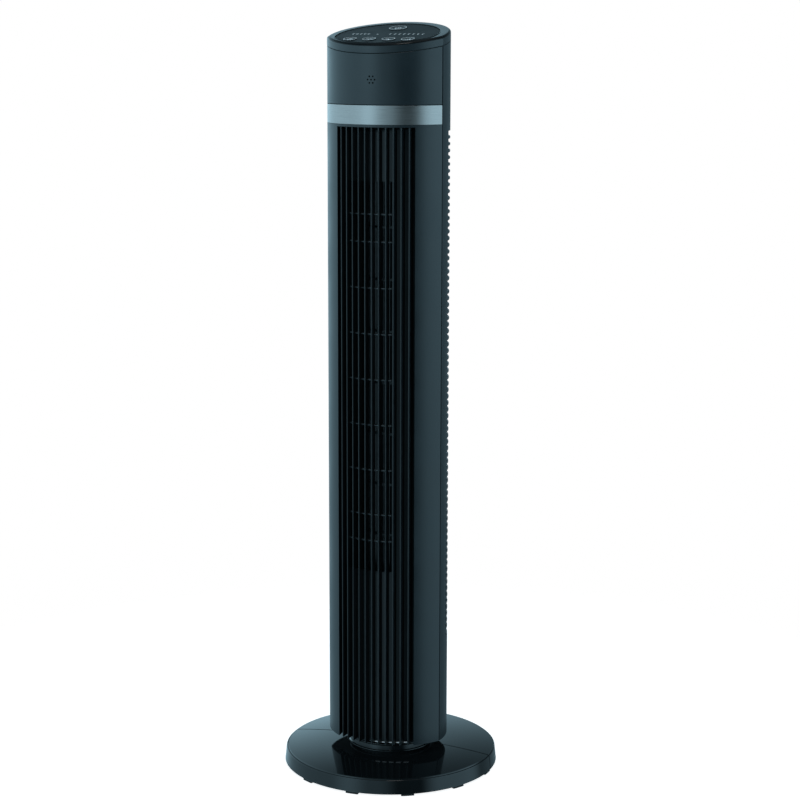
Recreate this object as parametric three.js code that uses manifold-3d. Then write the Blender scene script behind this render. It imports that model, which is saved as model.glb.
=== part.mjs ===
// Tower fan: a round two-part base, a swinging column with an upright grille in front and an
// intake wrapped round the back, a cross-flow impeller inside, and a slanted top with buttons.
// Millimetres, +Z up. The origin is on the floor, on the axis that the column swings about.
// The front of the fan faces -Y.

import * as THREE from 'three';
import { mergeVertices } from 'three/addons/utils/BufferGeometryUtils.js';
import Module from 'manifold-3d';

const wasm = await Module();
wasm.setup();

// ---------------------------------------------------------------- driving sizes

const FIT = 0.3; // gap between neighbouring pieces
const RUN = 0.15; // radial clearance of a shaft that turns in its bore
const WALL = 2.5; // wall of the column's shells

// column in plan: a front arc and a rear arc that meet at two corners
const COLUMN_HALF_WIDTH = 81.8;
const CORNER_Y = -26.3;
const FRONT_Y = -74.2;
const REAR_Y = 70;
const COLUMN_CLEARANCE = 14.5; // from the top of the base up to the column
const SEAM_GROOVE = 2; // open groove between front and rear shell

// top of the column
const TOP_HEIGHT = 1009; // height of the slanted top where it crosses the swing axis
const TOP_TILT = THREE.MathUtils.degToRad(11.6);
const CAP_THICKNESS = 12;
const HEAD_HEIGHT = 94; // from the top of the band to the slanted top, on the axis
const BAND_HEIGHT = 25;
const BAND_THICKNESS = 1.2;

// recess and grille in front
const RECESS_HALF_WIDTH = 55;
const RECESS_DEPTH = 11.2;
const RECESS_WALL = 2;
const RECESS_TOP_GAP = 3.3; // from the recess up to the band
const PLATE_THICKNESS = 2;
const RAIL_THICKNESS = 3.8; // rail that ties the cheeks together behind the lower rib ends
const RAIL_HEIGHT = 3;
const RIB_COUNT = 11;
const RIB_END_GAP = 7.2; // from the side of the recess to the middle of the first rib
const RIB_THICKNESS = 2;
const RIB_SETBACK = 0.5; // ribs stand this far behind the front arc
const WINDOW_LEFT = -41;
const WINDOW_RIGHT = 24;
const WINDOW_BOTTOM = 288;
const WINDOW_TOP_GAP = 74; // from the window up to the band
const BAR_HEIGHT = 2;
const BAR_PITCH = 61.5;
const BAR_END_INSET = 43;

// intake in the rear shell
const INTAKE_BOTTOM = 190;
const INTAKE_TOP_GAP = 9;
const INTAKE_HALF_ANGLE = THREE.MathUtils.degToRad(85);
const INTAKE_ROW = 86;
const INTAKE_BAR = 9;
const INTAKE_SECTORS = 3;

// round base
const BASE_RADIUS = 148.5;
const BASE_RIM_INSET = 2.2;
const BASE_WALL = 3;
const SKIRT_BOTTOM = 3;
const RIM_HEIGHT = 22;
const RIM_BEVEL = 1.6;
const LAND_HEIGHT = 30.5;
const BASE_HOLE_RADIUS = 6;
const WEB_COUNT = 8;
const WEB_THICKNESS = 2;
const WEB_BOTTOM = 9;
const FOOT_ANGLES = [0, 30, 60, 87, 120, 150, 180, 210, 240, 273, 300, 330];
const FOOT_WIDTH = 18;
const FOOT_DEPTH = 11;
const FOOT_HEIGHT = 5.4;
const GLAND_RADIUS = 5;
const GLAND_BORE = 3.3;
const GLAND_FLANGE = 1.8;
const GLAND_LENGTH = 9;
const GLAND_LIP = 1.5; // the flange reaches this far past the gland's body

// swivel
const NECK_RADIUS = 57;
const NECK_WALL = 3;
const NECK_GAP = 4; // from the top of the neck ring up to the column
const PEDESTAL_THICKNESS = 4.5;
const SHOULDER_RADIUS = 9.8;
const POST_RADIUS = 7.5;
const POST_BORE = 4.5;
const WASHER_THICKNESS = 1;
const FLOOR_THICKNESS = 3;
const HUB_RADIUS = 13;
const HUB_HEIGHT = 35;
const CLIP_RADIUS = 12;
const CLIP_THICKNESS = 1.4;
const CLIP_GROOVE = 0.9;
const POST_END = 1.4; // post left above the clip's groove
const SWING_ANGLE = THREE.MathUtils.degToRad(33); // each way
const CRANK_EDGE_GAP = 2.6; // from the crank's outer eye to the inside of the neck ring
const CRANK_THICKNESS = 3.5;
const CRANK_HUB_RADIUS = 5;
const CRANK_EYE_RADIUS = 3.4;
const CRANK_PIN_RADIUS = 2.5;
const CRANK_PIN_LENGTH = 2;
const CRANK_STUB_LENGTH = 12;
const CRANK_BELOW_FLOOR = 3.3;
const SWING_MOTOR_RADIUS = 17.5;
const SWING_MOTOR_HEIGHT = 18;
const SWING_MOTOR_OFFSET = 7; // its shaft is this far off its centre

// impeller, motor and duct
const IMPELLER_X = 6;
const IMPELLER_Y = 8;
const IMPELLER_RADIUS = 42;
const BLADE_COUNT = 12;
const BLADE_DEPTH = 9;
const BLADE_THICKNESS = 1.6;
const BLADE_LEAN = THREE.MathUtils.degToRad(38);
const DISC_THICKNESS = 3;
const MIDDLE_RINGS = 3;
const MOUNT_PLATE_TOP = 253;
const PLATE_END_GAP = 17; // from the window up to the upper bearing plate
const CHASSIS_PLATE = 3;
const IMPELLER_END_GAP = 8;
const MOTOR_RADIUS = 38;
const MOTOR_WALL = 2.5;
const MOTOR_HEIGHT = 65;
const ROTOR_RADIUS = 24.5;
const AIR_GAP = 0.8;
const SHAFT_RADIUS = 4;
const COUPLING_RADIUS = 12;
const BUSH_RADIUS = 9;
const GROMMET_RADIUS = 14;
const DUCT_WALL = 1.8;
const SCROLL_GAP_START = 4;
const SCROLL_GAP_END = 14;
const SCROLL_START = THREE.MathUtils.degToRad(115);
const SCROLL_END = THREE.MathUtils.degToRad(215);
const TONGUE_GAP = 4;

// head, panel and buttons, in the plane of the slanted top
const HEAD_PLATE_GAP = 4; // from the band up to the head frame
const PANEL_FRONT_MARGIN = 5.5;
const PANEL_SIDE_MARGIN = 16;
const PANEL_CORNER_MARGIN = 9.7;
const PANEL_REAR_MARGIN = 18;
const PANEL_THICKNESS = 2;
const CAP_SKIN = 4.5;
const BUTTON_RADIUS = 9.25;
const BUTTON_EDGE_GAP = 1.1; // from the outer buttons to the panel's edge
const BUTTON_FRONT_INSET = 23; // from the panel's front edge to the row of four
const POWER_RADIUS = 12.2;
const POWER_REAR_INSET = 28; // from the panel's rear edge to the larger button
const BUTTON_PROUD = 0.8;
const BUTTON_SINK = 1.2;
const STEM_RADIUS = 3;
const STEM_LENGTH = 8;
const BUTTON_TRAVEL = 0.8;
const SWITCH_SIZE = 6;
const SWITCH_HEIGHT = 1.3;
const BOARD_THICKNESS = 1.6;
const BOARD_MARGIN = 4;
const VENT_RADIUS = 1.1;
const VENT_RING = 4.8;
const VENT_ABOVE_BAND = 33;
const SOUNDER_RADIUS = 8;
const SOUNDER_DEPTH = 7;

// screws
const SCREW_RADIUS = 1.5;
const SCREW_HEAD_RADIUS = 3.5;
const SCREW_HEAD_HEIGHT = 2.5;
const SCREW_CLEARANCE = 0.4;
const BASE_SCREW_REACH = 39.6;
const WELL_X = 32;
const WELL_RADIUS = 6;
const WELL_DEPTH = 9;
const WELL_FLOOR = 2;
const WELL_HEIGHT = 17; // of the screw's axis above the plate that it is screwed to
const BOSS_DEPTH = 12;

// power board and wiring loom
const POWER_BOARD_WIDTH = 60;
const POWER_BOARD_HEIGHT = 80;
const POWER_BOARD_SETBACK = 34.2; // behind the front of the column
const POWER_BOARD_LIFT = 30;
const LOOM_SIDE_GAP = 17.8; // from the loom's middle out to the side of the column
const LOOM_Y = 0;
const LOOM_RADIUS = 2.5;

// how finely round shapes are divided
const FRONT_STEPS = 16;
const REAR_STEPS = 26;
const RECESS_STEPS = 14;
const BASE_SIDES = 60;
const TURNED_SIDES = 24;
const SCREW_SIDES = 10;

// ---------------------------------------------------------------- worked-out sizes

const COLUMN_BOTTOM = LAND_HEIGHT + COLUMN_CLEARANCE;
const NECK_TOP = COLUMN_BOTTOM - NECK_GAP;
const GLAND_END = BASE_RADIUS - 1; // its outer end is flush with the skirt
const GLAND_HEIGHT = FOOT_HEIGHT + 2 * FIT + GLAND_RADIUS + GLAND_LIP;
const RIB_PITCH = (2 * (RECESS_HALF_WIDTH - RIB_END_GAP)) / (RIB_COUNT - 1);
const POWER_BOARD_Y = FRONT_Y + POWER_BOARD_SETBACK;
const LOOM_X = COLUMN_HALF_WIDTH - LOOM_SIDE_GAP;
const BAND_TOP = TOP_HEIGHT - HEAD_HEIGHT;
const BAND_BOTTOM = BAND_TOP - BAND_HEIGHT;
const RECESS_TOP = BAND_BOTTOM - RECESS_TOP_GAP;
const WINDOW_TOP = BAND_BOTTOM - WINDOW_TOP_GAP;
const INTAKE_TOP = BAND_BOTTOM - INTAKE_TOP_GAP;
const CHASSIS_INSET = WALL + FIT;
const RAIL_BACK = RECESS_DEPTH + RAIL_THICKNESS;
const NECK_INNER = NECK_RADIUS - NECK_WALL;
const CRANK_REACH = NECK_INNER - CRANK_EDGE_GAP - CRANK_EYE_RADIUS;
const CRANK_DISTANCE = CRANK_REACH / (1 + Math.sin(SWING_ANGLE));
const CRANK_THROW = CRANK_REACH - CRANK_DISTANCE;
const LAND_RADIUS = NECK_RADIUS + 5;
const RIM_RADIUS = BASE_RADIUS - BASE_RIM_INSET;
const PEDESTAL_BOTTOM = LAND_HEIGHT + FIT;
const PEDESTAL_TOP = PEDESTAL_BOTTOM + PEDESTAL_THICKNESS;
const FLOOR_BOTTOM = COLUMN_BOTTOM + FIT;
const FLOOR_TOP = FLOOR_BOTTOM + FLOOR_THICKNESS;
const HUB_TOP = FLOOR_BOTTOM + HUB_HEIGHT;
const MOUNT_PLATE_BOTTOM = MOUNT_PLATE_TOP - CHASSIS_PLATE;
const UPPER_PLATE_BOTTOM = WINDOW_TOP + PLATE_END_GAP;
const UPPER_PLATE_TOP = UPPER_PLATE_BOTTOM + CHASSIS_PLATE;
const IMPELLER_BOTTOM = MOUNT_PLATE_TOP + IMPELLER_END_GAP;
const IMPELLER_TOP = UPPER_PLATE_BOTTOM - IMPELLER_END_GAP;
const HEAD_PLATE_BOTTOM = BAND_TOP + HEAD_PLATE_GAP;
const HEAD_PLATE_TOP = HEAD_PLATE_BOTTOM + CHASSIS_PLATE;
const VENT_HEIGHT = BAND_TOP + VENT_ABOVE_BAND;

// ---------------------------------------------------------------- materials

function finish(color, roughness, metalness) {
  return new THREE.MeshStandardMaterial({ color, roughness, metalness });
}

const shellPlastic = finish(0x3a4349, 0.5, 0);
const grillePlastic = finish(0x2b3136, 0.5, 0);
const glossPlastic = finish(0x16191c, 0.12, 0);
const silverTrim = finish(0x9aa6ad, 0.32, 0.8);
const innerPlastic = finish(0x202326, 0.6, 0);
const acetal = finish(0xe4e2d8, 0.4, 0);
const rubber = finish(0x121314, 0.9, 0);
const steel = finish(0x9a9da0, 0.3, 1);
const motorSteel = finish(0x6f7478, 0.4, 0.9);
const copper = finish(0x9b5b34, 0.4, 0.9);
const circuitBoard = finish(0x1f5a37, 0.5, 0);
const buttonPlastic = finish(0x23282c, 0.25, 0);

// ---------------------------------------------------------------- solids

function flipWinding(index) {
  for (let i = 0; i < index.length; i += 3) {
    const kept = index[i];
    index[i] = index[i + 1];
    index[i + 1] = kept;
  }
}

function enclosedVolume(position, index) {
  const a = new THREE.Vector3();
  const b = new THREE.Vector3();
  const c = new THREE.Vector3();
  let volume = 0;
  for (let i = 0; i < index.length; i += 3) {
    a.fromArray(position, index[i] * 3);
    b.fromArray(position, index[i + 1] * 3);
    c.fromArray(position, index[i + 2] * 3);
    volume += a.dot(b.cross(c)) / 6;
  }
  return volume;
}

// a closed geometry as a solid: shared corners merged, empty triangles dropped, faces outward
function solidOf(geometry) {
  geometry.deleteAttribute('normal');
  geometry.deleteAttribute('uv');
  const merged = mergeVertices(geometry, 1e-4);
  const corners = merged.index.array;
  const index = [];
  for (let i = 0; i < corners.length; i += 3) {
    const [a, b, c] = [corners[i], corners[i + 1], corners[i + 2]];
    if (a !== b && b !== c && c !== a) {
      index.push(a, b, c);
    }
  }
  const position = merged.attributes.position.array;
  if (enclosedVolume(position, index) < 0) {
    flipWinding(index);
  }
  return new wasm.Manifold(new wasm.Mesh({
    numProp: 3,
    vertProperties: new Float32Array(position),
    triVerts: new Uint32Array(index),
  }));
}

function geometryOf(solid) {
  const mesh = solid.getMesh();
  const geometry = new THREE.BufferGeometry();
  geometry.setAttribute('position', new THREE.BufferAttribute(mesh.vertProperties, mesh.numProp));
  geometry.setIndex(new THREE.BufferAttribute(mesh.triVerts, 1));
  geometry.computeVertexNormals();
  return geometry;
}

function block(x0, x1, y0, y1, z0, z1) {
  const geometry = new THREE.BoxGeometry(x1 - x0, y1 - y0, z1 - z0);
  return solidOf(geometry.translate((x0 + x1) / 2, (y0 + y1) / 2, (z0 + z1) / 2));
}

// a slab tilted like the slanted top: low and high are measured up from the top plane
function tiltedSlab(low, high) {
  const reach = 4 * COLUMN_HALF_WIDTH;
  const geometry = new THREE.BoxGeometry(reach, reach, high - low);
  geometry.translate(0, 0, (low + high) / 2);
  return solidOf(geometry.applyMatrix4(topPlane));
}

const topPlane = new THREE.Matrix4()
  .makeTranslation(0, 0, TOP_HEIGHT)
  .multiply(new THREE.Matrix4().makeRotationX(TOP_TILT));

// an outline in plan, drawn up from z0 to z1
function prism(points, z0, z1) {
  const geometry = new THREE.ExtrudeGeometry(new THREE.Shape(points), {
    depth: z1 - z0,
    bevelEnabled: false,
  });
  return solidOf(geometry.translate(0, 0, z0));
}

// a closed profile of [radius, height] pairs turned about an upright axis
function turned(profile, sides, x = 0, y = 0) {
  const points = profile.map(([radius, height]) => new THREE.Vector2(radius, height));
  points.push(points[0].clone());
  const geometry = new THREE.LatheGeometry(points, sides);
  return solidOf(geometry.rotateX(Math.PI / 2).translate(x, y, 0));
}

function rod(radius, z0, z1, sides, x = 0, y = 0) {
  return turned([[0, z0], [radius, z0], [radius, z1], [0, z1]], sides, x, y);
}

function ring(inner, outer, z0, z1, sides, x = 0, y = 0) {
  return turned([[inner, z0], [outer, z0], [outer, z1], [inner, z1]], sides, x, y);
}

// a rod lying along Y, at x and z
function rodAlongY(radius, y0, y1, sides, x, z) {
  const geometry = new THREE.CylinderGeometry(radius, radius, y1 - y0, sides);
  return solidOf(geometry.translate(x, (y0 + y1) / 2, z));
}

function joined(solids) {
  return solids.reduce((whole, solid) => whole.add(solid));
}

// ---------------------------------------------------------------- outlines in plan

// the arc that runs through both corners and one tip on the middle plane
function arcThrough(halfWidth, cornerY, tipY) {
  const rise = Math.abs(tipY - cornerY);
  const radius = (halfWidth ** 2 + rise ** 2) / (2 * rise);
  const side = Math.sign(tipY - cornerY);
  return { radius, side, centreY: tipY - side * radius };
}

const frontArc = arcThrough(COLUMN_HALF_WIDTH, CORNER_Y, FRONT_Y);
const rearArc = arcThrough(COLUMN_HALF_WIDTH, CORNER_Y, REAR_Y);

// a point on an arc set in by inset; angles run from the arc's tip towards +X
function onArc(arc, inset, angle) {
  const radius = arc.radius - inset;
  return new THREE.Vector2(radius * Math.sin(angle), arc.centreY + arc.side * radius * Math.cos(angle));
}

function arcPoints(arc, inset, from, to, steps) {
  const step = (to - from) / steps;
  return Array.from({ length: steps + 1 }, (unused, i) => onArc(arc, inset, from + i * step));
}

function angleAtX(arc, inset, x) {
  return Math.asin(x / (arc.radius - inset));
}

// where two arcs of one outline cross, as an angle on each
function cornerAngles(front, rear, inset) {
  const a = front.radius - inset;
  const b = rear.radius - inset;
  const apart = front.centreY - rear.centreY;
  const y = (b ** 2 - a ** 2 + front.centreY ** 2 - rear.centreY ** 2) / (2 * apart);
  return {
    front: Math.acos((front.centreY - y) / a),
    rear: Math.acos((y - rear.centreY) / b),
  };
}

function lensOutline(front, rear, inset, frontSteps, rearSteps) {
  const corner = cornerAngles(front, rear, inset);
  const frontSide = arcPoints(front, inset, -corner.front, corner.front, frontSteps);
  const rearSide = arcPoints(rear, inset, corner.rear, -corner.rear, rearSteps);
  return [...frontSide, ...rearSide.slice(1, -1)];
}

function columnPrism(inset, z0, z1) {
  return prism(lensOutline(frontArc, rearArc, inset, FRONT_STEPS, REAR_STEPS), z0, z1);
}

// a curved strip of a shell, between two insets and two angles
function stripPrism(arc, outer, inner, from, to, steps, z0, z1) {
  const outside = arcPoints(arc, outer, from, to, steps);
  const inside = arcPoints(arc, inner, to, from, steps);
  return prism([...outside, ...inside], z0, z1);
}

const outerCorner = cornerAngles(frontArc, rearArc, 0);
const frontEnd = outerCorner.front - SEAM_GROOVE / 2 / frontArc.radius;
const rearEnd = outerCorner.rear - SEAM_GROOVE / 2 / rearArc.radius;

// the same wall thickness laid along a list of points
function ribbonPrism(points, thickness, z0, z1) {
  const left = [];
  const right = [];
  points.forEach((point, i) => {
    const before = points[Math.max(i - 1, 0)];
    const after = points[Math.min(i + 1, points.length - 1)];
    const along = after.clone().sub(before).normalize();
    const across = new THREE.Vector2(-along.y, along.x).multiplyScalar(thickness / 2);
    left.push(point.clone().add(across));
    right.unshift(point.clone().sub(across));
  });
  return prism([...left, ...right], z0, z1);
}

// ---------------------------------------------------------------- the assembly

const fan = new THREE.Group();
const swingingColumn = new THREE.Group();
const slantedTop = new THREE.Group();
slantedTop.position.z = TOP_HEIGHT;
slantedTop.rotation.x = TOP_TILT;
fan.add(swingingColumn);
swingingColumn.add(slantedTop);

function addPiece(parent, name, solid, material) {
  const mesh = new THREE.Mesh(geometryOf(solid), material);
  mesh.name = name;
  parent.add(mesh);
  return mesh;
}

// ---------------------------------------------------------------- base

function domeHeight(radius) {
  const outward = (radius - LAND_RADIUS) / (RIM_RADIUS - RIM_BEVEL - LAND_RADIUS);
  const fall = LAND_HEIGHT - RIM_HEIGHT - RIM_BEVEL;
  return LAND_HEIGHT - fall * Math.max(outward, 0) ** 1.6;
}

function domePoints(drop) {
  const steps = [0, 0.34, 0.68, 1];
  return steps.map((step) => {
    const radius = LAND_RADIUS + (RIM_RADIUS - RIM_BEVEL - LAND_RADIUS) * step;
    return [radius, domeHeight(radius) - drop];
  });
}

function baseShell() {
  const outside = [[BASE_RADIUS, SKIRT_BOTTOM], [RIM_RADIUS, RIM_HEIGHT], ...domePoints(0).reverse()];
  const inside = domePoints(BASE_WALL).slice(0, -1);
  const shell = turned([
    ...outside,
    [BASE_HOLE_RADIUS, LAND_HEIGHT],
    [BASE_HOLE_RADIUS, LAND_HEIGHT - BASE_WALL],
    ...inside,
    [RIM_RADIUS - BASE_WALL, RIM_HEIGHT - BASE_WALL],
    [BASE_RADIUS - BASE_WALL, SKIRT_BOTTOM],
  ], BASE_SIDES);
  const underDome = turned([
    [0, WEB_BOTTOM],
    [BASE_RADIUS - BASE_WALL - FOOT_DEPTH, WEB_BOTTOM],
    [BASE_RADIUS - BASE_WALL - FOOT_DEPTH, domeHeight(BASE_RADIUS - FOOT_DEPTH) - BASE_WALL / 2],
    ...domePoints(BASE_WALL / 2).slice(0, -1).reverse(),
    [0, LAND_HEIGHT - BASE_WALL / 2],
  ], BASE_SIDES);
  const webs = Array.from({ length: WEB_COUNT }, (unused, i) => {
    const web = new THREE.BoxGeometry(BASE_RADIUS, WEB_THICKNESS, 2 * LAND_HEIGHT);
    web.translate(BASE_RADIUS / 2 + 2 * SHOULDER_RADIUS, 0, 0);
    return solidOf(web.rotateZ(((i + 0.5) * 2 * Math.PI) / WEB_COUNT));
  });
  return shell.add(joined(webs).intersect(underDome));
}

function baseScrewPlaces() {
  return [45, 135, 225, 315].map((degrees) => {
    const angle = THREE.MathUtils.degToRad(degrees);
    return [BASE_SCREW_REACH * Math.cos(angle), BASE_SCREW_REACH * Math.sin(angle)];
  });
}

function buildBase() {
  let shell = baseShell();
  const holeRadius = SCREW_RADIUS + SCREW_CLEARANCE;
  for (const [x, y] of baseScrewPlaces()) {
    shell = shell.subtract(rod(holeRadius, 0, 2 * LAND_HEIGHT, SCREW_SIDES, x, y));
  }
  const glandInner = BASE_RADIUS - 2 * FOOT_DEPTH;
  const flangeEnd = GLAND_END - GLAND_LENGTH + GLAND_FLANGE + FIT;
  const flangeRadius = GLAND_RADIUS + GLAND_LIP + FIT;
  shell = shell
    .subtract(rodAlongY(GLAND_RADIUS + FIT, glandInner, 2 * BASE_RADIUS, 16, 0, GLAND_HEIGHT))
    .subtract(rodAlongY(flangeRadius, glandInner, flangeEnd, 16, 0, GLAND_HEIGHT));
  const reach = 2 * BASE_RADIUS;
  const split = FIT / 2;
  const frontSide = block(-reach, reach, -reach, -split, 0, reach);
  const rearSide = block(-reach, reach, split, reach, 0, reach);
  addPiece(fan, 'base_front_half', shell.intersect(frontSide), glossPlastic);
  addPiece(fan, 'base_rear_half', shell.intersect(rearSide), glossPlastic);
}

function buildFeet() {
  const outer = BASE_RADIUS - 1.2;
  const stepIn = BASE_RADIUS - BASE_WALL - 3 * FIT;
  const inner = outer - FOOT_DEPTH;
  const profile = [
    [inner, 0], [outer, 0], [outer, SKIRT_BOTTOM - FIT],
    [stepIn, SKIRT_BOTTOM - FIT], [stepIn, FOOT_HEIGHT], [inner, FOOT_HEIGHT],
  ].map(([radius, height]) => new THREE.Vector2(radius, height));
  FOOT_ANGLES.forEach((degrees, i) => {
    const section = new THREE.Shape(profile);
    const foot = new THREE.ExtrudeGeometry(section, { depth: FOOT_WIDTH, bevelEnabled: false });
    foot.translate(0, 0, -FOOT_WIDTH / 2).rotateX(Math.PI / 2);
    foot.rotateZ(THREE.MathUtils.degToRad(degrees - 90));
    addPiece(fan, `foot_${String(i + 1).padStart(2, '0')}`, solidOf(foot), rubber);
  });
}

function buildPedestal() {
  const washerBottom = FLOOR_BOTTOM - FIT - WASHER_THICKNESS;
  const clipBottom = HUB_TOP + FIT;
  const clipTop = clipBottom + CLIP_THICKNESS;
  let pedestal = turned([
    [POST_BORE, PEDESTAL_BOTTOM],
    [NECK_INNER - FIT, PEDESTAL_BOTTOM],
    [NECK_INNER - FIT, PEDESTAL_TOP],
    [SHOULDER_RADIUS, PEDESTAL_TOP],
    [SHOULDER_RADIUS, washerBottom - FIT],
    [POST_RADIUS, washerBottom - FIT],
    [POST_RADIUS, clipBottom - RUN],
    [POST_RADIUS - CLIP_GROOVE, clipBottom - RUN],
    [POST_RADIUS - CLIP_GROOVE, clipTop + RUN],
    [POST_RADIUS, clipTop + RUN],
    [POST_RADIUS, clipTop + POST_END],
    [POST_BORE, clipTop + POST_END],
  ], 2 * TURNED_SIDES);
  const slotHalf = CRANK_PIN_RADIUS + FIT;
  const slotStart = CRANK_DISTANCE - CRANK_THROW - slotHalf;
  const slotEnd = CRANK_DISTANCE + CRANK_THROW + slotHalf;
  pedestal = pedestal.subtract(block(-slotHalf, slotHalf, slotStart, slotEnd, 0, PEDESTAL_TOP + FIT));
  for (const [x, y] of baseScrewPlaces()) {
    pedestal = pedestal.subtract(rod(SCREW_RADIUS + SCREW_CLEARANCE, 0, NECK_TOP, SCREW_SIDES, x, y));
  }
  addPiece(fan, 'pedestal', pedestal, innerPlastic);

  const neck = ring(NECK_INNER, NECK_RADIUS, PEDESTAL_BOTTOM, NECK_TOP, 2 * TURNED_SIDES);
  addPiece(fan, 'neck_ring', neck, glossPlastic);

  const washerTop = washerBottom + WASHER_THICKNESS;
  const washer = ring(POST_RADIUS + RUN, SHOULDER_RADIUS, washerBottom, washerTop, TURNED_SIDES);
  addPiece(fan, 'slip_washer', washer, acetal);

  const clip = ring(POST_RADIUS - CLIP_GROOVE + RUN, CLIP_RADIUS, clipBottom, clipTop, TURNED_SIDES);
  const mouth = block(-POST_RADIUS / 2, POST_RADIUS / 2, 0, 2 * CLIP_RADIUS, clipBottom - 1, clipTop + 1);
  addPiece(fan, 'swivel_clip', clip.subtract(mouth), steel);

  baseScrewPlaces().forEach(([x, y], i) => {
    const headTop = LAND_HEIGHT - BASE_WALL - FIT;
    const screw = turned([
      [0, headTop - SCREW_HEAD_HEIGHT],
      [SCREW_HEAD_RADIUS, headTop - SCREW_HEAD_HEIGHT],
      [SCREW_HEAD_RADIUS, headTop],
      [SCREW_RADIUS, headTop],
      [SCREW_RADIUS, PEDESTAL_TOP - 1],
      [0, PEDESTAL_TOP - 1],
    ], SCREW_SIDES, x, y);
    addPiece(fan, `base_screw_${i + 1}`, screw, steel);
  });
}

function buildGland() {
  const flangeEnd = GLAND_LENGTH - GLAND_FLANGE;
  const gland = new THREE.LatheGeometry([
    [GLAND_BORE, 0], [GLAND_RADIUS, 0], [GLAND_RADIUS, flangeEnd], [GLAND_RADIUS + GLAND_LIP, flangeEnd],
    [GLAND_RADIUS + GLAND_LIP, GLAND_LENGTH], [GLAND_BORE, GLAND_LENGTH], [GLAND_BORE, 0],
  ].map(([radius, along]) => new THREE.Vector2(radius, -along)), 16);
  gland.translate(0, GLAND_END, GLAND_HEIGHT);
  addPiece(fan, 'cord_gland', solidOf(gland), rubber);
}

// ---------------------------------------------------------------- screw wells and bosses

function wellMouthY() {
  return onArc(rearArc, 0, angleAtX(rearArc, 0, WELL_X)).y;
}

// a tube that sinks a screw head below the rear surface
function screwWell(x, z) {
  const floorY = wellMouthY() - WELL_DEPTH;
  const tube = rodAlongY(WELL_RADIUS, floorY - WELL_FLOOR, REAR_Y, 12, x, z);
  return tube.intersect(columnPrism(0, z - 2 * WELL_RADIUS, z + 2 * WELL_RADIUS));
}

function screwWellBore(x, z) {
  const floorY = wellMouthY() - WELL_DEPTH;
  const boreRadius = SCREW_HEAD_RADIUS + 2 * FIT;
  const bore = rodAlongY(boreRadius, floorY, 2 * REAR_Y, 12, x, z);
  const shankRadius = SCREW_RADIUS + SCREW_CLEARANCE;
  return bore.add(rodAlongY(shankRadius, floorY - 2 * WELL_FLOOR, 2 * REAR_Y, SCREW_SIDES, x, z));
}

function screwBoss(x, plateBottom, z) {
  const bossRear = wellMouthY() - WELL_DEPTH - WELL_FLOOR - FIT;
  const bossFront = bossRear - BOSS_DEPTH;
  const body = block(x - WELL_RADIUS, x + WELL_RADIUS, bossFront, bossRear, plateBottom, z + WELL_RADIUS);
  return body.subtract(rodAlongY(SCREW_RADIUS + FIT, bossFront + 2, 2 * REAR_Y, SCREW_SIDES, x, z));
}

function caseScrew(x, z) {
  const headFront = wellMouthY() - WELL_DEPTH + FIT;
  const shankEnd = wellMouthY() - WELL_DEPTH - WELL_FLOOR - BOSS_DEPTH + 4;
  const head = rodAlongY(SCREW_HEAD_RADIUS, headFront, headFront + SCREW_HEAD_HEIGHT, 12, x, z);
  return head.add(rodAlongY(SCREW_RADIUS, shankEnd, headFront + 1, SCREW_SIDES, x, z));
}

const LOWER_SCREW_Z = FLOOR_BOTTOM + WELL_HEIGHT;
const UPPER_SCREW_Z = HEAD_PLATE_BOTTOM + WELL_HEIGHT;

function caseScrewPlaces() {
  return [LOWER_SCREW_Z, UPPER_SCREW_Z].flatMap((z) => [[-WELL_X, z], [WELL_X, z]]);
}

// ---------------------------------------------------------------- plates inside the column

// the space in front that the recess takes up, as the plates behind it must leave it
function recessSpace(z0, z1) {
  const back = RAIL_BACK + FIT;
  const angle = angleAtX(frontArc, back, RECESS_HALF_WIDTH + RECESS_WALL + FIT);
  return stripPrism(frontArc, -4, back, -angle, angle, RECESS_STEPS, z0, z1);
}

function chassisPlate(z0, z1) {
  return columnPrism(CHASSIS_INSET, z0, z1).subtract(recessSpace(z0 - 1, z1 + 1));
}

function loomHole(z0, z1) {
  return rod(2 * LOOM_RADIUS, z0 - 1, z1 + 1, 12, LOOM_X, LOOM_Y);
}

function buildLowerHousing() {
  const hub = rod(HUB_RADIUS, FLOOR_BOTTOM, HUB_TOP, TURNED_SIDES);
  const postWidth = 6;
  const boardHalf = POWER_BOARD_WIDTH / 2 + FIT;
  const railTop = FLOOR_TOP + POWER_BOARD_LIFT + POWER_BOARD_HEIGHT / 2;
  const rails = [-boardHalf - postWidth, boardHalf].map((x) => (
    block(x, x + postWidth, POWER_BOARD_Y - 3, POWER_BOARD_Y + 5, FLOOR_BOTTOM, railTop)
  ));
  const bosses = [-1, 1].map((side) => screwBoss(side * WELL_X, FLOOR_BOTTOM, LOWER_SCREW_Z));
  const housing = joined([chassisPlate(FLOOR_BOTTOM, FLOOR_TOP), hub, ...rails, ...bosses])
    .subtract(rod(POST_RADIUS + RUN, 0, HUB_TOP + 1, 2 * TURNED_SIDES))
    .subtract(rod(CRANK_PIN_RADIUS + 2 * FIT, 0, FLOOR_TOP + 1, TURNED_SIDES, 0, CRANK_DISTANCE));
  addPiece(swingingColumn, 'lower_housing', housing, innerPlastic);
}

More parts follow.
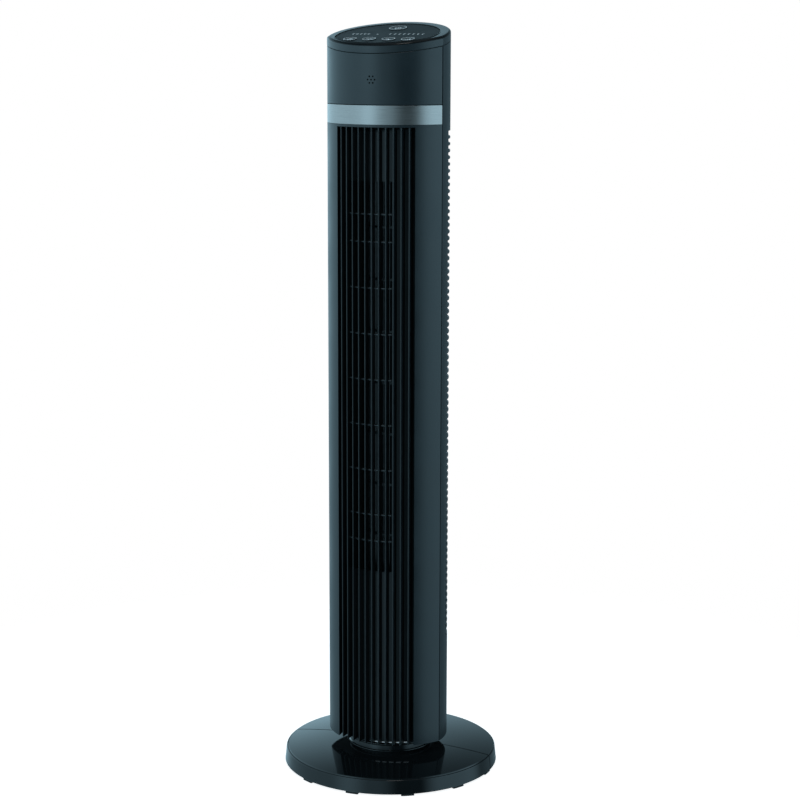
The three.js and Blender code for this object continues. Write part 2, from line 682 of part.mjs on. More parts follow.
function buildSwingDrive() {
  const motorBottom = FLOOR_TOP + FIT;
  const motorY = CRANK_DISTANCE + SWING_MOTOR_OFFSET;
  const stubTop = FLOOR_TOP + CRANK_STUB_LENGTH / 2;
  const motorTop = motorBottom + SWING_MOTOR_HEIGHT;
  const motor = rod(SWING_MOTOR_RADIUS, motorBottom, motorTop, TURNED_SIDES, 0, motorY)
    .subtract(rod(CRANK_PIN_RADIUS + RUN, 0, stubTop + 1, TURNED_SIDES, 0, CRANK_DISTANCE));
  addPiece(swingingColumn, 'oscillation_motor', motor, motorSteel);

  const armTop = FLOOR_BOTTOM - CRANK_BELOW_FLOOR;
  const armBottom = armTop - CRANK_THICKNESS;
  const pinY = CRANK_DISTANCE + CRANK_THROW;
  const arm = joined([
    rod(CRANK_HUB_RADIUS, armBottom, armTop, TURNED_SIDES, 0, CRANK_DISTANCE),
    rod(CRANK_EYE_RADIUS, armBottom, armTop, TURNED_SIDES, 0, pinY),
    block(-CRANK_EYE_RADIUS + 0.2, CRANK_EYE_RADIUS - 0.2, CRANK_DISTANCE, pinY, armBottom, armTop),
    rod(CRANK_PIN_RADIUS, armBottom + 1, stubTop, TURNED_SIDES, 0, CRANK_DISTANCE),
    rod(CRANK_PIN_RADIUS, armBottom - CRANK_PIN_LENGTH, armTop - 1, TURNED_SIDES, 0, pinY),
  ]);
  addPiece(swingingColumn, 'crank_arm', arm, acetal);
}

// ---------------------------------------------------------------- column shells

// one cheek of the front shell with the wall that turns into the recess
function cheekOutline(side) {
  const back = RECESS_DEPTH + PLATE_THICKNESS;
  const outside = arcPoints(frontArc, 0, angleAtX(frontArc, 0, RECESS_HALF_WIDTH), frontEnd, 4);
  const innerStart = angleAtX(frontArc, WALL, RECESS_HALF_WIDTH + RECESS_WALL);
  const inside = arcPoints(frontArc, WALL, frontEnd, innerStart, 4);
  const wallBack = onArc(frontArc, back, angleAtX(frontArc, back, RECESS_HALF_WIDTH)).y;
  const outline = [
    ...outside,
    ...inside,
    new THREE.Vector2(RECESS_HALF_WIDTH + RECESS_WALL, wallBack),
    new THREE.Vector2(RECESS_HALF_WIDTH, wallBack),
  ];
  return outline.map((point) => new THREE.Vector2(side * point.x, point.y));
}

function buildFrontShell() {
  const cheeks = [-1, 1].map((side) => prism(cheekOutline(side), COLUMN_BOTTOM, RECESS_TOP + 1));
  const bridge = stripPrism(
    frontArc, 0, WALL + BAND_THICKNESS + FIT, -frontEnd, frontEnd, FRONT_STEPS, RECESS_TOP, BAND_TOP,
  );
  const railAngle = angleAtX(frontArc, RAIL_BACK, RECESS_HALF_WIDTH + RECESS_WALL / 2);
  const rail = stripPrism(
    frontArc, RECESS_DEPTH, RAIL_BACK, -railAngle, railAngle, RECESS_STEPS,
    COLUMN_BOTTOM, COLUMN_BOTTOM + RAIL_HEIGHT,
  );
  const rebate = stripPrism(
    frontArc, -4, BAND_THICKNESS + FIT, -outerCorner.front, outerCorner.front, FRONT_STEPS,
    BAND_BOTTOM - FIT, BAND_TOP + 5,
  );
  const shell = joined([...cheeks, bridge, rail]).subtract(rebate);
  addPiece(swingingColumn, 'front_shell', shell, shellPlastic);
}

function windowGaps() {
  const middle = (WINDOW_BOTTOM + WINDOW_TOP) / 2;
  const reach = (WINDOW_TOP - WINDOW_BOTTOM) / 2 - BAR_END_INSET;
  const inner = Math.floor((reach - BAR_PITCH / 3) / BAR_PITCH);
  const bars = [middle - reach];
  for (let i = -inner; i <= inner; i += 1) {
    bars.push(middle + i * BAR_PITCH);
  }
  bars.push(middle + reach);
  const edges = [WINDOW_BOTTOM - BAR_HEIGHT / 2, ...bars, WINDOW_TOP + BAR_HEIGHT / 2];
  return edges.slice(1).map((edge, i) => [edges[i] + BAR_HEIGHT / 2, edge - BAR_HEIGHT / 2]);
}

function buildFrontGrille() {
  const plateHalf = RECESS_HALF_WIDTH - FIT;
  const grilleTop = RECESS_TOP - FIT;
  const plateAngle = angleAtX(frontArc, RECESS_DEPTH, plateHalf);
  const plate = stripPrism(
    frontArc, RECESS_DEPTH, RECESS_DEPTH + PLATE_THICKNESS, -plateAngle, plateAngle, RECESS_STEPS,
    COLUMN_BOTTOM + FIT, grilleTop,
  );
  const ribs = Array.from({ length: RIB_COUNT }, (unused, i) => {
    const x = (i - (RIB_COUNT - 1) / 2) * RIB_PITCH;
    const front = onArc(frontArc, RIB_SETBACK, angleAtX(frontArc, RIB_SETBACK, x)).y;
    const root = RECESS_DEPTH + PLATE_THICKNESS / 2;
    const back = onArc(frontArc, root, angleAtX(frontArc, root, x)).y;
    return block(x - RIB_THICKNESS / 2, x + RIB_THICKNESS / 2, front, back, COLUMN_BOTTOM + FIT, grilleTop);
  });
  let grille = joined([plate, ...ribs]);
  const railSpace = stripPrism(
    frontArc, RECESS_DEPTH - FIT, RAIL_BACK + 5, -plateAngle * 1.2, plateAngle * 1.2, RECESS_STEPS,
    0, COLUMN_BOTTOM + RAIL_HEIGHT + FIT,
  );
  grille = grille.subtract(railSpace);
  const left = angleAtX(frontArc, RECESS_DEPTH, WINDOW_LEFT);
  const right = angleAtX(frontArc, RECESS_DEPTH, WINDOW_RIGHT);
  const behind = RECESS_DEPTH + 3 * PLATE_THICKNESS;
  for (const [low, high] of windowGaps()) {
    grille = grille.subtract(stripPrism(frontArc, RECESS_DEPTH - 0.1, behind, left, right, 6, low, high));
  }
  addPiece(swingingColumn, 'front_grille', grille, grillePlastic);
}

function buildRearShell() {
  let shell = stripPrism(rearArc, 0, WALL, -rearEnd, rearEnd, REAR_STEPS, COLUMN_BOTTOM, TOP_HEIGHT + REAR_Y);
  for (const [x, z] of caseScrewPlaces()) {
    shell = shell.add(screwWell(x, z)).subtract(screwWellBore(x, z));
  }
  const rows = Math.max(Math.round((INTAKE_TOP - INTAKE_BOTTOM) / INTAKE_ROW), 1);
  const rowHeight = (INTAKE_TOP - INTAKE_BOTTOM) / rows;
  const sector = (2 * INTAKE_HALF_ANGLE) / INTAKE_SECTORS;
  const postAngle = INTAKE_BAR / 2 / rearArc.radius;
  for (let row = 0; row < rows; row += 1) {
    const low = INTAKE_BOTTOM + row * rowHeight + INTAKE_BAR / 2;
    const high = low + rowHeight - INTAKE_BAR;
    for (let i = 0; i < INTAKE_SECTORS; i += 1) {
      const from = -INTAKE_HALF_ANGLE + i * sector + postAngle;
      const to = from + sector - 2 * postAngle;
      shell = shell.subtract(stripPrism(rearArc, -3, WALL + 3, from, to, 2, low, high));
    }
  }
  shell = shell.subtract(tiltedSlab(-CAP_THICKNESS - FIT, 4 * REAR_Y));
  addPiece(swingingColumn, 'rear_shell', shell, shellPlastic);
}

// ---------------------------------------------------------------- head

function buildHead() {
  const aboveCap = tiltedSlab(-CAP_THICKNESS - FIT, 4 * REAR_Y);
  const frontStrip = (inner, low, high) => (
    stripPrism(frontArc, 0, inner, -frontEnd, frontEnd, FRONT_STEPS, low, high)
  );
  let front = frontStrip(WALL, BAND_TOP + 2 * FIT, TOP_HEIGHT);
  for (let i = 0; i <= 6; i += 1) {
    const reach = i === 6 ? 0 : VENT_RING;
    const x = reach * Math.cos((i * Math.PI) / 3);
    const z = VENT_HEIGHT + reach * Math.sin((i * Math.PI) / 3);
    front = front.subtract(rodAlongY(VENT_RADIUS, FRONT_Y - 5, FRONT_Y + 3 * WALL, 8, x, z));
  }
  addPiece(swingingColumn, 'head_front', front.subtract(aboveCap), shellPlastic);

  addPiece(swingingColumn, 'head_band', frontStrip(BAND_THICKNESS, BAND_BOTTOM, BAND_TOP), silverTrim);

  const sounderFront = FRONT_Y + WALL + 4 * FIT;
  const sounderBack = sounderFront + SOUNDER_DEPTH;
  const sounder = rodAlongY(SOUNDER_RADIUS, sounderFront, sounderBack, 16, 0, VENT_HEIGHT);
  addPiece(swingingColumn, 'sounder', sounder, innerPlastic);

  const cradleHalf = SOUNDER_RADIUS * 0.75;
  const cradleTop = VENT_HEIGHT - SOUNDER_RADIUS - FIT;
  const cradle = block(-cradleHalf, cradleHalf, sounderFront, sounderBack, HEAD_PLATE_BOTTOM, cradleTop);
  const bosses = [-1, 1].map((side) => screwBoss(side * WELL_X, HEAD_PLATE_BOTTOM, UPPER_SCREW_Z));
  const frame = joined([columnPrism(CHASSIS_INSET, HEAD_PLATE_BOTTOM, HEAD_PLATE_TOP), cradle, ...bosses])
    .subtract(loomHole(HEAD_PLATE_BOTTOM, HEAD_PLATE_TOP));
  addPiece(swingingColumn, 'head_frame', frame, innerPlastic);

  caseScrewPlaces().forEach(([x, z], i) => {
    addPiece(swingingColumn, `case_screw_${i + 1}`, caseScrew(x, z), steel);
  });
}

// ---------------------------------------------------------------- slanted top

const slope = Math.cos(TOP_TILT); // sizes along Y grow by 1 / slope in the slanted plane
const panelHalfWidth = COLUMN_HALF_WIDTH - PANEL_SIDE_MARGIN;
const panelCornerY = (CORNER_Y - PANEL_CORNER_MARGIN) / slope;
const panelFrontY = (FRONT_Y + PANEL_FRONT_MARGIN) / slope;
const panelRearY = (REAR_Y - PANEL_REAR_MARGIN) / slope;
const panelFront = arcThrough(panelHalfWidth, panelCornerY, panelFrontY);
const panelRear = arcThrough(panelHalfWidth, panelCornerY, panelRearY);

const buttonRowY = panelFrontY + BUTTON_FRONT_INSET;
const buttonReach = panelFront.radius - BUTTON_RADIUS - BUTTON_EDGE_GAP;
const buttonPitch = Math.sqrt(buttonReach ** 2 - (panelFront.centreY - buttonRowY) ** 2) / 1.5;
const buttons = [-1.5, -0.5, 0.5, 1.5].map((step, i) => ({
  name: `button_${i + 1}`,
  x: step * buttonPitch,
  y: buttonRowY,
  radius: BUTTON_RADIUS,
}));
buttons.push({ name: 'button_power', x: 0, y: panelRearY - POWER_REAR_INSET, radius: POWER_RADIUS });

function panelPrism(inset, low, high) {
  return prism(lensOutline(panelFront, panelRear, inset, 12, 24), low, high);
}

function inTopPlane(solid) {
  return solidOf(geometryOf(solid).applyMatrix4(topPlane));
}

const POCKET_FLOOR = -PANEL_THICKNESS - FIT;
const STEM_BOTTOM = -BUTTON_SINK - STEM_LENGTH;
const SWITCH_TOP = STEM_BOTTOM - BUTTON_TRAVEL - FIT;
const BOARD_TOP = SWITCH_TOP - SWITCH_HEIGHT;

function buildTopCap() {
  const hollowTop = -CAP_SKIN;
  const postPlaces = [[-50, -12], [50, -12], [-30, 30], [30, 30]];
  const posts = postPlaces.map(([x, y]) => rod(STEM_RADIUS, BOARD_TOP + FIT, hollowTop + 1, 8, x, y));
  const stemHoles = buttons.map(({ x, y }) => rod(STEM_RADIUS + 2 * FIT, hollowTop - 2, 0, 12, x, y));
  const slab = columnPrism(0, TOP_HEIGHT - 2 * REAR_Y, TOP_HEIGHT + 2 * REAR_Y)
    .intersect(tiltedSlab(-CAP_THICKNESS, 0));
  const hollow = columnPrism(WALL, TOP_HEIGHT - 2 * REAR_Y, TOP_HEIGHT + 2 * REAR_Y)
    .intersect(tiltedSlab(-2 * CAP_THICKNESS, hollowTop));
  const cap = slab
    .subtract(hollow)
    .subtract(inTopPlane(panelPrism(-FIT, POCKET_FLOOR, 2)))
    .subtract(inTopPlane(joined(stemHoles)))
    .add(inTopPlane(joined(posts)));
  addPiece(swingingColumn, 'top_cap', cap, shellPlastic);
}

function buildControls() {
  const holes = buttons.map(({ x, y, radius }) => (
    rod(radius + FIT, -PANEL_THICKNESS - 1, 1, TURNED_SIDES, x, y)
  ));
  const panel = panelPrism(0, -PANEL_THICKNESS, 0).subtract(joined(holes));
  addPiece(slantedTop, 'control_panel', panel, glossPlastic);

  for (const { name, x, y, radius } of buttons) {
    const button = turned([
      [0, STEM_BOTTOM], [STEM_RADIUS, STEM_BOTTOM], [STEM_RADIUS, -BUTTON_SINK], [radius, -BUTTON_SINK],
      [radius, BUTTON_PROUD - 0.4], [radius - 0.6, BUTTON_PROUD], [0, BUTTON_PROUD],
    ], TURNED_SIDES, x, y);
    addPiece(slantedTop, name, button, buttonPlastic);
  }

  const half = SWITCH_SIZE / 2;
  const switches = buttons.map(({ x, y }) => (
    block(x - half, x + half, y - half, y + half, BOARD_TOP - 1, SWITCH_TOP)
  ));
  const board = joined([panelPrism(BOARD_MARGIN, BOARD_TOP - BOARD_THICKNESS, BOARD_TOP), ...switches]);
  addPiece(slantedTop, 'control_board', board, circuitBoard);
}

// ---------------------------------------------------------------- fan unit

function buildDuct() {
  const low = MOUNT_PLATE_TOP + FIT;
  const high = UPPER_PLATE_BOTTOM - FIT;
  const plateBack = RECESS_DEPTH + PLATE_THICKNESS + FIT + DUCT_WALL;
  const frontAt = (x) => onArc(frontArc, plateBack, angleAtX(frontArc, plateBack, x)).y;
  const steps = 10;
  const scroll = Array.from({ length: steps + 1 }, (unused, i) => {
    const share = i / steps;
    const angle = SCROLL_START + (SCROLL_END - SCROLL_START) * share;
    const gap = SCROLL_GAP_START + (SCROLL_GAP_END - SCROLL_GAP_START) * share;
    const radius = IMPELLER_RADIUS + gap + DUCT_WALL / 2;
    return new THREE.Vector2(IMPELLER_X + radius * Math.cos(angle), IMPELLER_Y + radius * Math.sin(angle));
  });
  scroll.push(new THREE.Vector2(WINDOW_LEFT - DUCT_WALL / 2, frontAt(WINDOW_LEFT)));
  addPiece(swingingColumn, 'air_duct', ribbonPrism(scroll, DUCT_WALL, low, high), innerPlastic);

  const tongueAngle = THREE.MathUtils.degToRad(-48);
  const tongueReach = IMPELLER_RADIUS + TONGUE_GAP + DUCT_WALL / 2;
  const lip = (angle) => new THREE.Vector2(
    IMPELLER_X + tongueReach * Math.cos(angle),
    IMPELLER_Y + tongueReach * Math.sin(angle),
  );
  const tongue = [
    new THREE.Vector2(WINDOW_RIGHT + DUCT_WALL / 2, frontAt(WINDOW_RIGHT)),
    lip(tongueAngle - 0.12),
    lip(tongueAngle),
    lip(tongueAngle + 0.22),
    lip(tongueAngle + 0.44),
  ];
  addPiece(swingingColumn, 'duct_tongue', ribbonPrism(tongue, DUCT_WALL, low, high), innerPlastic);
}

function buildMotor() {
  const housingTop = MOUNT_PLATE_BOTTOM - FIT;
  const housingBottom = housingTop - MOTOR_HEIGHT;
  const shaftHole = SHAFT_RADIUS + 2;
  const mount = chassisPlate(MOUNT_PLATE_BOTTOM, MOUNT_PLATE_TOP)
    .subtract(rod(shaftHole + 4, 0, MOUNT_PLATE_TOP + 1, TURNED_SIDES, IMPELLER_X, IMPELLER_Y))
    .subtract(loomHole(MOUNT_PLATE_BOTTOM, MOUNT_PLATE_TOP));
  addPiece(swingingColumn, 'motor_mount', mount, innerPlastic);

  const innerRadius = MOTOR_RADIUS - MOTOR_WALL;
  const housing = turned([
    [shaftHole, housingTop], [shaftHole, housingTop - MOTOR_WALL], [innerRadius, housingTop - MOTOR_WALL],
    [innerRadius, housingBottom], [MOTOR_RADIUS, housingBottom], [MOTOR_RADIUS, housingTop],
  ], TURNED_SIDES, IMPELLER_X, IMPELLER_Y);
  addPiece(swingingColumn, 'motor_housing', housing, motorSteel);

  const stackBottom = housingBottom + 6;
  const stackTop = housingTop - MOTOR_WALL - 8;
  const stator = ring(
    ROTOR_RADIUS + AIR_GAP, innerRadius - FIT, stackBottom, stackTop, TURNED_SIDES, IMPELLER_X, IMPELLER_Y,
  );
  addPiece(swingingColumn, 'motor_stator', stator, copper);

  const shaftTop = IMPELLER_BOTTOM + 2 * DISC_THICKNESS + 6;
  const rotor = turned([
    [0, housingBottom + 2], [SHAFT_RADIUS, housingBottom + 2], [SHAFT_RADIUS, stackBottom + 2],
    [ROTOR_RADIUS, stackBottom + 2], [ROTOR_RADIUS, stackTop - 2], [SHAFT_RADIUS, stackTop - 2],
    [SHAFT_RADIUS, shaftTop], [0, shaftTop],
  ], TURNED_SIDES, IMPELLER_X, IMPELLER_Y);
  addPiece(swingingColumn, 'motor_rotor', rotor, steel);

  const coupling = ring(
    SHAFT_RADIUS + RUN, COUPLING_RADIUS, IMPELLER_BOTTOM - 3, IMPELLER_BOTTOM + 2 * DISC_THICKNESS,
    TURNED_SIDES, IMPELLER_X, IMPELLER_Y,
  );
  addPiece(swingingColumn, 'drive_coupling', coupling, rubber);
}

function buildImpeller() {
  const rimInner = IMPELLER_RADIUS - BLADE_DEPTH - 2;
  const height = IMPELLER_TOP - IMPELLER_BOTTOM;
  const disc = (inner, z) => ring(inner, IMPELLER_RADIUS, z, z + DISC_THICKNESS, TURNED_SIDES);
  const discs = [
    disc(COUPLING_RADIUS + FIT, IMPELLER_BOTTOM),
    disc(SHAFT_RADIUS + FIT, IMPELLER_TOP - DISC_THICKNESS),
  ];
  for (let i = 1; i <= MIDDLE_RINGS; i += 1) {
    discs.push(disc(rimInner, IMPELLER_BOTTOM + (height * i) / (MIDDLE_RINGS + 1)));
  }
  const blades = Array.from({ length: BLADE_COUNT }, (unused, i) => {
    const blade = new THREE.BoxGeometry(BLADE_DEPTH, BLADE_THICKNESS, height - DISC_THICKNESS);
    blade.rotateZ(BLADE_LEAN);
    blade.translate(IMPELLER_RADIUS - BLADE_DEPTH / 2 - 1, 0, (IMPELLER_BOTTOM + IMPELLER_TOP) / 2);
    return solidOf(blade.rotateZ((i * 2 * Math.PI) / BLADE_COUNT));
  });
  const impeller = addPiece(swingingColumn, 'impeller', joined([...discs, ...blades]), grillePlastic);
  impeller.position.set(IMPELLER_X, IMPELLER_Y, 0);

  const collarBottom = IMPELLER_TOP - DISC_THICKNESS - FIT - 3;
  const topShaft = turned([
    [0, collarBottom], [COUPLING_RADIUS, collarBottom], [COUPLING_RADIUS, collarBottom + 3],
    [SHAFT_RADIUS, collarBottom + 3], [SHAFT_RADIUS, UPPER_PLATE_TOP + 4], [0, UPPER_PLATE_TOP + 4],
  ], TURNED_SIDES, IMPELLER_X, IMPELLER_Y);
  addPiece(swingingColumn, 'impeller_top_shaft', topShaft, steel);
}

function buildUpperBearing() {
  const bush = ring(
    SHAFT_RADIUS + RUN, BUSH_RADIUS, UPPER_PLATE_BOTTOM - 3, UPPER_PLATE_TOP + 3,
    TURNED_SIDES, IMPELLER_X, IMPELLER_Y,
  );
  addPiece(swingingColumn, 'bearing_bush', bush, copper);

  const grommet = ring(
    BUSH_RADIUS + FIT, GROMMET_RADIUS, UPPER_PLATE_BOTTOM - 1, UPPER_PLATE_TOP + 1,
    TURNED_SIDES, IMPELLER_X, IMPELLER_Y,
  );
  addPiece(swingingColumn, 'bearing_grommet', grommet, rubber);

  const plate = chassisPlate(UPPER_PLATE_BOTTOM, UPPER_PLATE_TOP)
    .subtract(rod(GROMMET_RADIUS + FIT, 0, UPPER_PLATE_TOP + 1, TURNED_SIDES, IMPELLER_X, IMPELLER_Y))
    .subtract(loomHole(UPPER_PLATE_BOTTOM, UPPER_PLATE_TOP));
  addPiece(swingingColumn, 'upper_bearing_plate', plate, innerPlastic);
}

function buildWiring() {
  const bottom = FLOOR_TOP + POWER_BOARD_LIFT;
  const top = bottom + POWER_BOARD_HEIGHT;
  const half = POWER_BOARD_WIDTH / 2;
  const face = POWER_BOARD_Y + BOARD_THICKNESS;
  const board = joined([
    block(-half, half, POWER_BOARD_Y, face, bottom, top),
    block(-22, 2, face - 0.5, face + 16, bottom + 10, bottom + 38),
    block(8, 22, face - 0.5, face + 12, bottom + 12, bottom + 28),
    rodAlongY(7, face - 0.5, face + 14, 16, 14, bottom + 48),
    block(-20, 0, face - 0.5, face + 8, bottom + 50, bottom + 66),
  ]);
  addPiece(swingingColumn, 'power_board', board, circuitBoard);

  const clipIn = 16;
  const route = new THREE.CatmullRomCurve3([
    new THREE.Vector3(half - 4, face + 6, top - 20),
    new THREE.Vector3(half + 10, face + clipIn, top - 4),
    new THREE.Vector3(LOOM_X, LOOM_Y, MOUNT_PLATE_BOTTOM - 50),
    new THREE.Vector3(LOOM_X, LOOM_Y, MOUNT_PLATE_BOTTOM - 20),
    new THREE.Vector3(LOOM_X, LOOM_Y, (MOUNT_PLATE_TOP + UPPER_PLATE_BOTTOM) / 2),
    new THREE.Vector3(LOOM_X, LOOM_Y, HEAD_PLATE_BOTTOM - 20),
    new THREE.Vector3(LOOM_X, LOOM_Y, HEAD_PLATE_TOP + 20),
    new THREE.Vector3(LOOM_X - 12, LOOM_Y + 4, HEAD_PLATE_TOP + 50),
  ], false, 'centripetal');
  const section = new THREE.Shape().absarc(0, 0, LOOM_RADIUS, 0, 2 * Math.PI);
  const loom = new THREE.ExtrudeGeometry(section, { steps: 24, curveSegments: 4, extrudePath: route });
  addPiece(swingingColumn, 'wiring_loom', solidOf(loom), rubber);
}

buildBase();
buildFeet();
buildPedestal();
buildGland();
buildLowerHousing();
buildSwingDrive();
buildFrontShell();
buildFrontGrille();
buildRearShell();
buildHead();
buildTopCap();
buildControls();
buildDuct();
buildMotor();
buildImpeller();
buildUpperBearing();
buildWiring();

export default fan;
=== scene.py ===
# %% [markdown]
# # A tower fan, built round its working model
# The fan is a slim upright column on a round base. The working model already holds every piece
# at its real size, with the joints that let the column swing and the buttons press. Here each
# piece that can be seen is made again with its true rounded surface and its finish. All sizes
# below are in millimetres and turn into metres when a mesh is made.

# %% Load the working model
import math

import bmesh
import bpy
from mathutils import Matrix, Vector


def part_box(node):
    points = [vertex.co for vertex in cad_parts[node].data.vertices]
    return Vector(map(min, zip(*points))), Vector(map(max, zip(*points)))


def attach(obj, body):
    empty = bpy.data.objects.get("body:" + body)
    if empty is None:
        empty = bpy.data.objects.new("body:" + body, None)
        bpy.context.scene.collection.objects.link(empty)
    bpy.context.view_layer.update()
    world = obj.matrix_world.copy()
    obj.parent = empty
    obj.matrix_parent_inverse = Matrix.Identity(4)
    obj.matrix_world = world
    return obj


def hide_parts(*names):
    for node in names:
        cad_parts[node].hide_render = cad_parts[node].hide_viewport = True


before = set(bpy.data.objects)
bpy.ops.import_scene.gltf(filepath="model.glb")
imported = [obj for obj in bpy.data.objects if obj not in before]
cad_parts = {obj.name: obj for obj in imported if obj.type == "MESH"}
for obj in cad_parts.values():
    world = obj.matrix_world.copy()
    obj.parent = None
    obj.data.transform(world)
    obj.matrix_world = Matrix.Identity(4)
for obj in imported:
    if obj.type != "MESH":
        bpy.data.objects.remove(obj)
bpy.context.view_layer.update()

MM = 0.001

# %% [markdown]
# ## Sizes
# Heights and reaches come from the working model's own boxes, so a change there moves the
# looks too. A few values that no box can give, such as the tilt of the top, are named here.


# %% Sizes read from the model
def low(node, axis):
    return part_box(node)[0]["xyz".index(axis)] / MM


def high(node, axis):
    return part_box(node)[1]["xyz".index(axis)] / MM


COLUMN_BOTTOM = low("front_shell", "z")
FRONT_Y = low("front_shell", "y")
REAR_Y = high("rear_shell", "y")
BAND_BOTTOM = low("head_band", "z")
BAND_TOP = high("head_band", "z")
BASE_RADIUS = high("base_front_half", "x")
BASE_TOP = high("base_front_half", "z")
SKIRT_BOTTOM = low("base_front_half", "z")
PLATES = ["lower_housing", "motor_mount", "upper_bearing_plate", "head_frame"]
print("column bottom %.1f, band %.1f to %.1f, base radius %.1f" % (
    COLUMN_BOTTOM, BAND_BOTTOM, BAND_TOP, BASE_RADIUS))

# %% Sizes that are given here
HALF_WIDTH = 81.8  # the corners where the front and rear arcs meet
CORNER_Y = -26.3
TOP_HEIGHT = 1009.0  # the slanted top, on the axis that the column swings about
TILT = math.radians(11.6)
CAP_THICKNESS = 12.0
FIT = 0.3
WALL = 2.5
GROOVE = 1.4  # between the front and rear shells
BAND_THICKNESS = 1.2
RAIL_TOP = low("front_grille", "z") - FIT + 3
RAIL_THICKNESS = 3.8
RECESS_HALF = 55.0
RECESS_DEPTH = 11.2
RECESS_SIDE_WALL = 2.0
RECESS_TOP = BAND_BOTTOM - 3.3
PLATE_THICKNESS = 2.0
RIB_COUNT = 11
RIB_PITCH = 9.56
RIB_SETBACK = 0.5
WINDOW_LEFT = -41.0
WINDOW_RIGHT = 24.0
WINDOW_BOTTOM = 288.0
WINDOW_TOP = BAND_BOTTOM - 74.0
BAR_HEIGHT = 2.0
BAR_PITCH = 61.5
BAR_END_GAP = 43.0  # from each end of the window to its nearest bar
BAR_PROUD = 3.0  # how far the bars stand in front of the plate
INTAKE_BOTTOM = 190.0
INTAKE_TOP = BAND_BOTTOM - 9.0
INTAKE_HALF_ANGLE = math.radians(85)

# %% [markdown]
# ## The camera
# The eye stands to the right of the fan, level with its top, and looks down a little. A long
# lens keeps the column nearly straight.

# %% Camera
EYE_AZIMUTH = math.radians(21)
EYE_DISTANCE = 2.68
EYE_HEIGHT = 1.0
EYE_PITCH = math.radians(10.28)
EYE_YAW = math.radians(-0.259)
EYE_ROLL = math.radians(-0.117)
EYE_LENS = 89.6


def make_camera():
    heading = EYE_AZIMUTH + EYE_YAW
    ahead = Vector((-math.sin(heading), math.cos(heading), -math.tan(EYE_PITCH))).normalized()
    right = Vector((ahead.y, -ahead.x, 0)).normalized()
    up = right.cross(ahead)
    turn = Matrix((right, up, -ahead)).transposed() @ Matrix.Rotation(-EYE_ROLL, 3, "Z")
    camera = bpy.data.objects.new("camera", bpy.data.cameras.new("camera"))
    camera.data.lens = EYE_LENS
    camera.data.sensor_width = 36
    camera.data.clip_end = 50
    place = (EYE_DISTANCE * math.sin(EYE_AZIMUTH), -EYE_DISTANCE * math.cos(EYE_AZIMUTH),
             EYE_HEIGHT)
    camera.matrix_world = Matrix.Translation(place) @ turn.to_4x4()
    bpy.context.scene.collection.objects.link(camera)
    bpy.context.scene.camera = camera
    return camera


print("camera at", [round(v, 2) for v in make_camera().matrix_world.translation])

# %% [markdown]
# ## Finishes
# Moulded plastic is never one flat colour: the mould's fine texture breaks up the shine, and
# the colour drifts a little from place to place. Each finish is a small chain of nodes: slow
# noise for the drift, fine noise for the grain, and a bump from the same grain.


# %% One builder for most finishes
COLOUR_DRIFT = 0.12
NOISE_LOW, NOISE_HIGH = 0.3, 0.7  # the middle of the noise, where nearly all of it lies
GLOW_COLOUR = (0.75, 0.9, 1.0, 1)


def new_material(name):
    material = bpy.data.materials.new(name)
    material.use_nodes = True
    tree = material.node_tree
    shader = tree.nodes["Principled BSDF"]
    return material, tree, shader


def noise(tree, scale, detail=2.0, stretch=(1, 1, 1)):
    place = tree.nodes.new("ShaderNodeTexCoord")
    mapping = tree.nodes.new("ShaderNodeMapping")
    mapping.inputs["Scale"].default_value = stretch
    texture = tree.nodes.new("ShaderNodeTexNoise")
    texture.inputs["Scale"].default_value = scale
    texture.inputs["Detail"].default_value = detail
    tree.links.new(place.outputs["Object"], mapping.inputs["Vector"])
    tree.links.new(mapping.outputs["Vector"], texture.inputs["Vector"])
    return texture.outputs["Fac"]


def drift(tree, fac, first, second):
    ramp = tree.nodes.new("ShaderNodeValToRGB")
    ramp.color_ramp.elements[0].position = NOISE_LOW
    ramp.color_ramp.elements[1].position = NOISE_HIGH
    ramp.color_ramp.elements[0].color = (*first, 1)
    ramp.color_ramp.elements[1].color = (*second, 1)
    tree.links.new(fac, ramp.inputs["Fac"])
    return ramp.outputs["Color"]


def mapped(tree, value, start, end, least=0.0, most=1.0, kind="SMOOTHSTEP"):
    """A node that turns a value from start to end into one from least to most."""
    node = tree.nodes.new("ShaderNodeMapRange")
    node.interpolation_type = kind
    limits = {"From Min": start, "From Max": end, "To Min": least, "To Max": most}
    for name, limit in limits.items():
        node.inputs[name].default_value = limit
    tree.links.new(value, node.inputs["Value"])
    return node


def spread(tree, fac, least, most):
    return mapped(tree, fac, NOISE_LOW, NOISE_HIGH, least, most, "LINEAR").outputs["Result"]


def bump(tree, shader, height, depth_mm, strength):
    node = tree.nodes.new("ShaderNodeBump")
    node.inputs["Distance"].default_value = depth_mm * MM
    node.inputs["Strength"].default_value = strength
    tree.links.new(height, node.inputs["Height"])
    tree.links.new(node.outputs["Normal"], shader.inputs["Normal"])


def grained(name, colour, roughness, grain_mm, depth_mm, blotch_mm=60, swing=0.05, shine=0.5,
            glow=0.0):
    material, tree, shader = new_material(name)
    slow = noise(tree, 1 / (blotch_mm * MM), 3.0)
    fine = noise(tree, 1 / (grain_mm * MM), 2.0)
    darker = tuple(c * (1 - COLOUR_DRIFT) for c in colour)
    lighter = tuple(c * (1 + COLOUR_DRIFT) for c in colour)
    tree.links.new(drift(tree, slow, darker, lighter), shader.inputs["Base Color"])
    dull = spread(tree, slow, roughness - swing, roughness + swing)
    tree.links.new(dull, shader.inputs["Roughness"])
    shader.inputs["Specular IOR Level"].default_value = shine
    shader.inputs["Emission Color"].default_value = GLOW_COLOUR
    shader.inputs["Emission Strength"].default_value = glow
    bump(tree, shader, fine, depth_mm, 0.35)
    return material
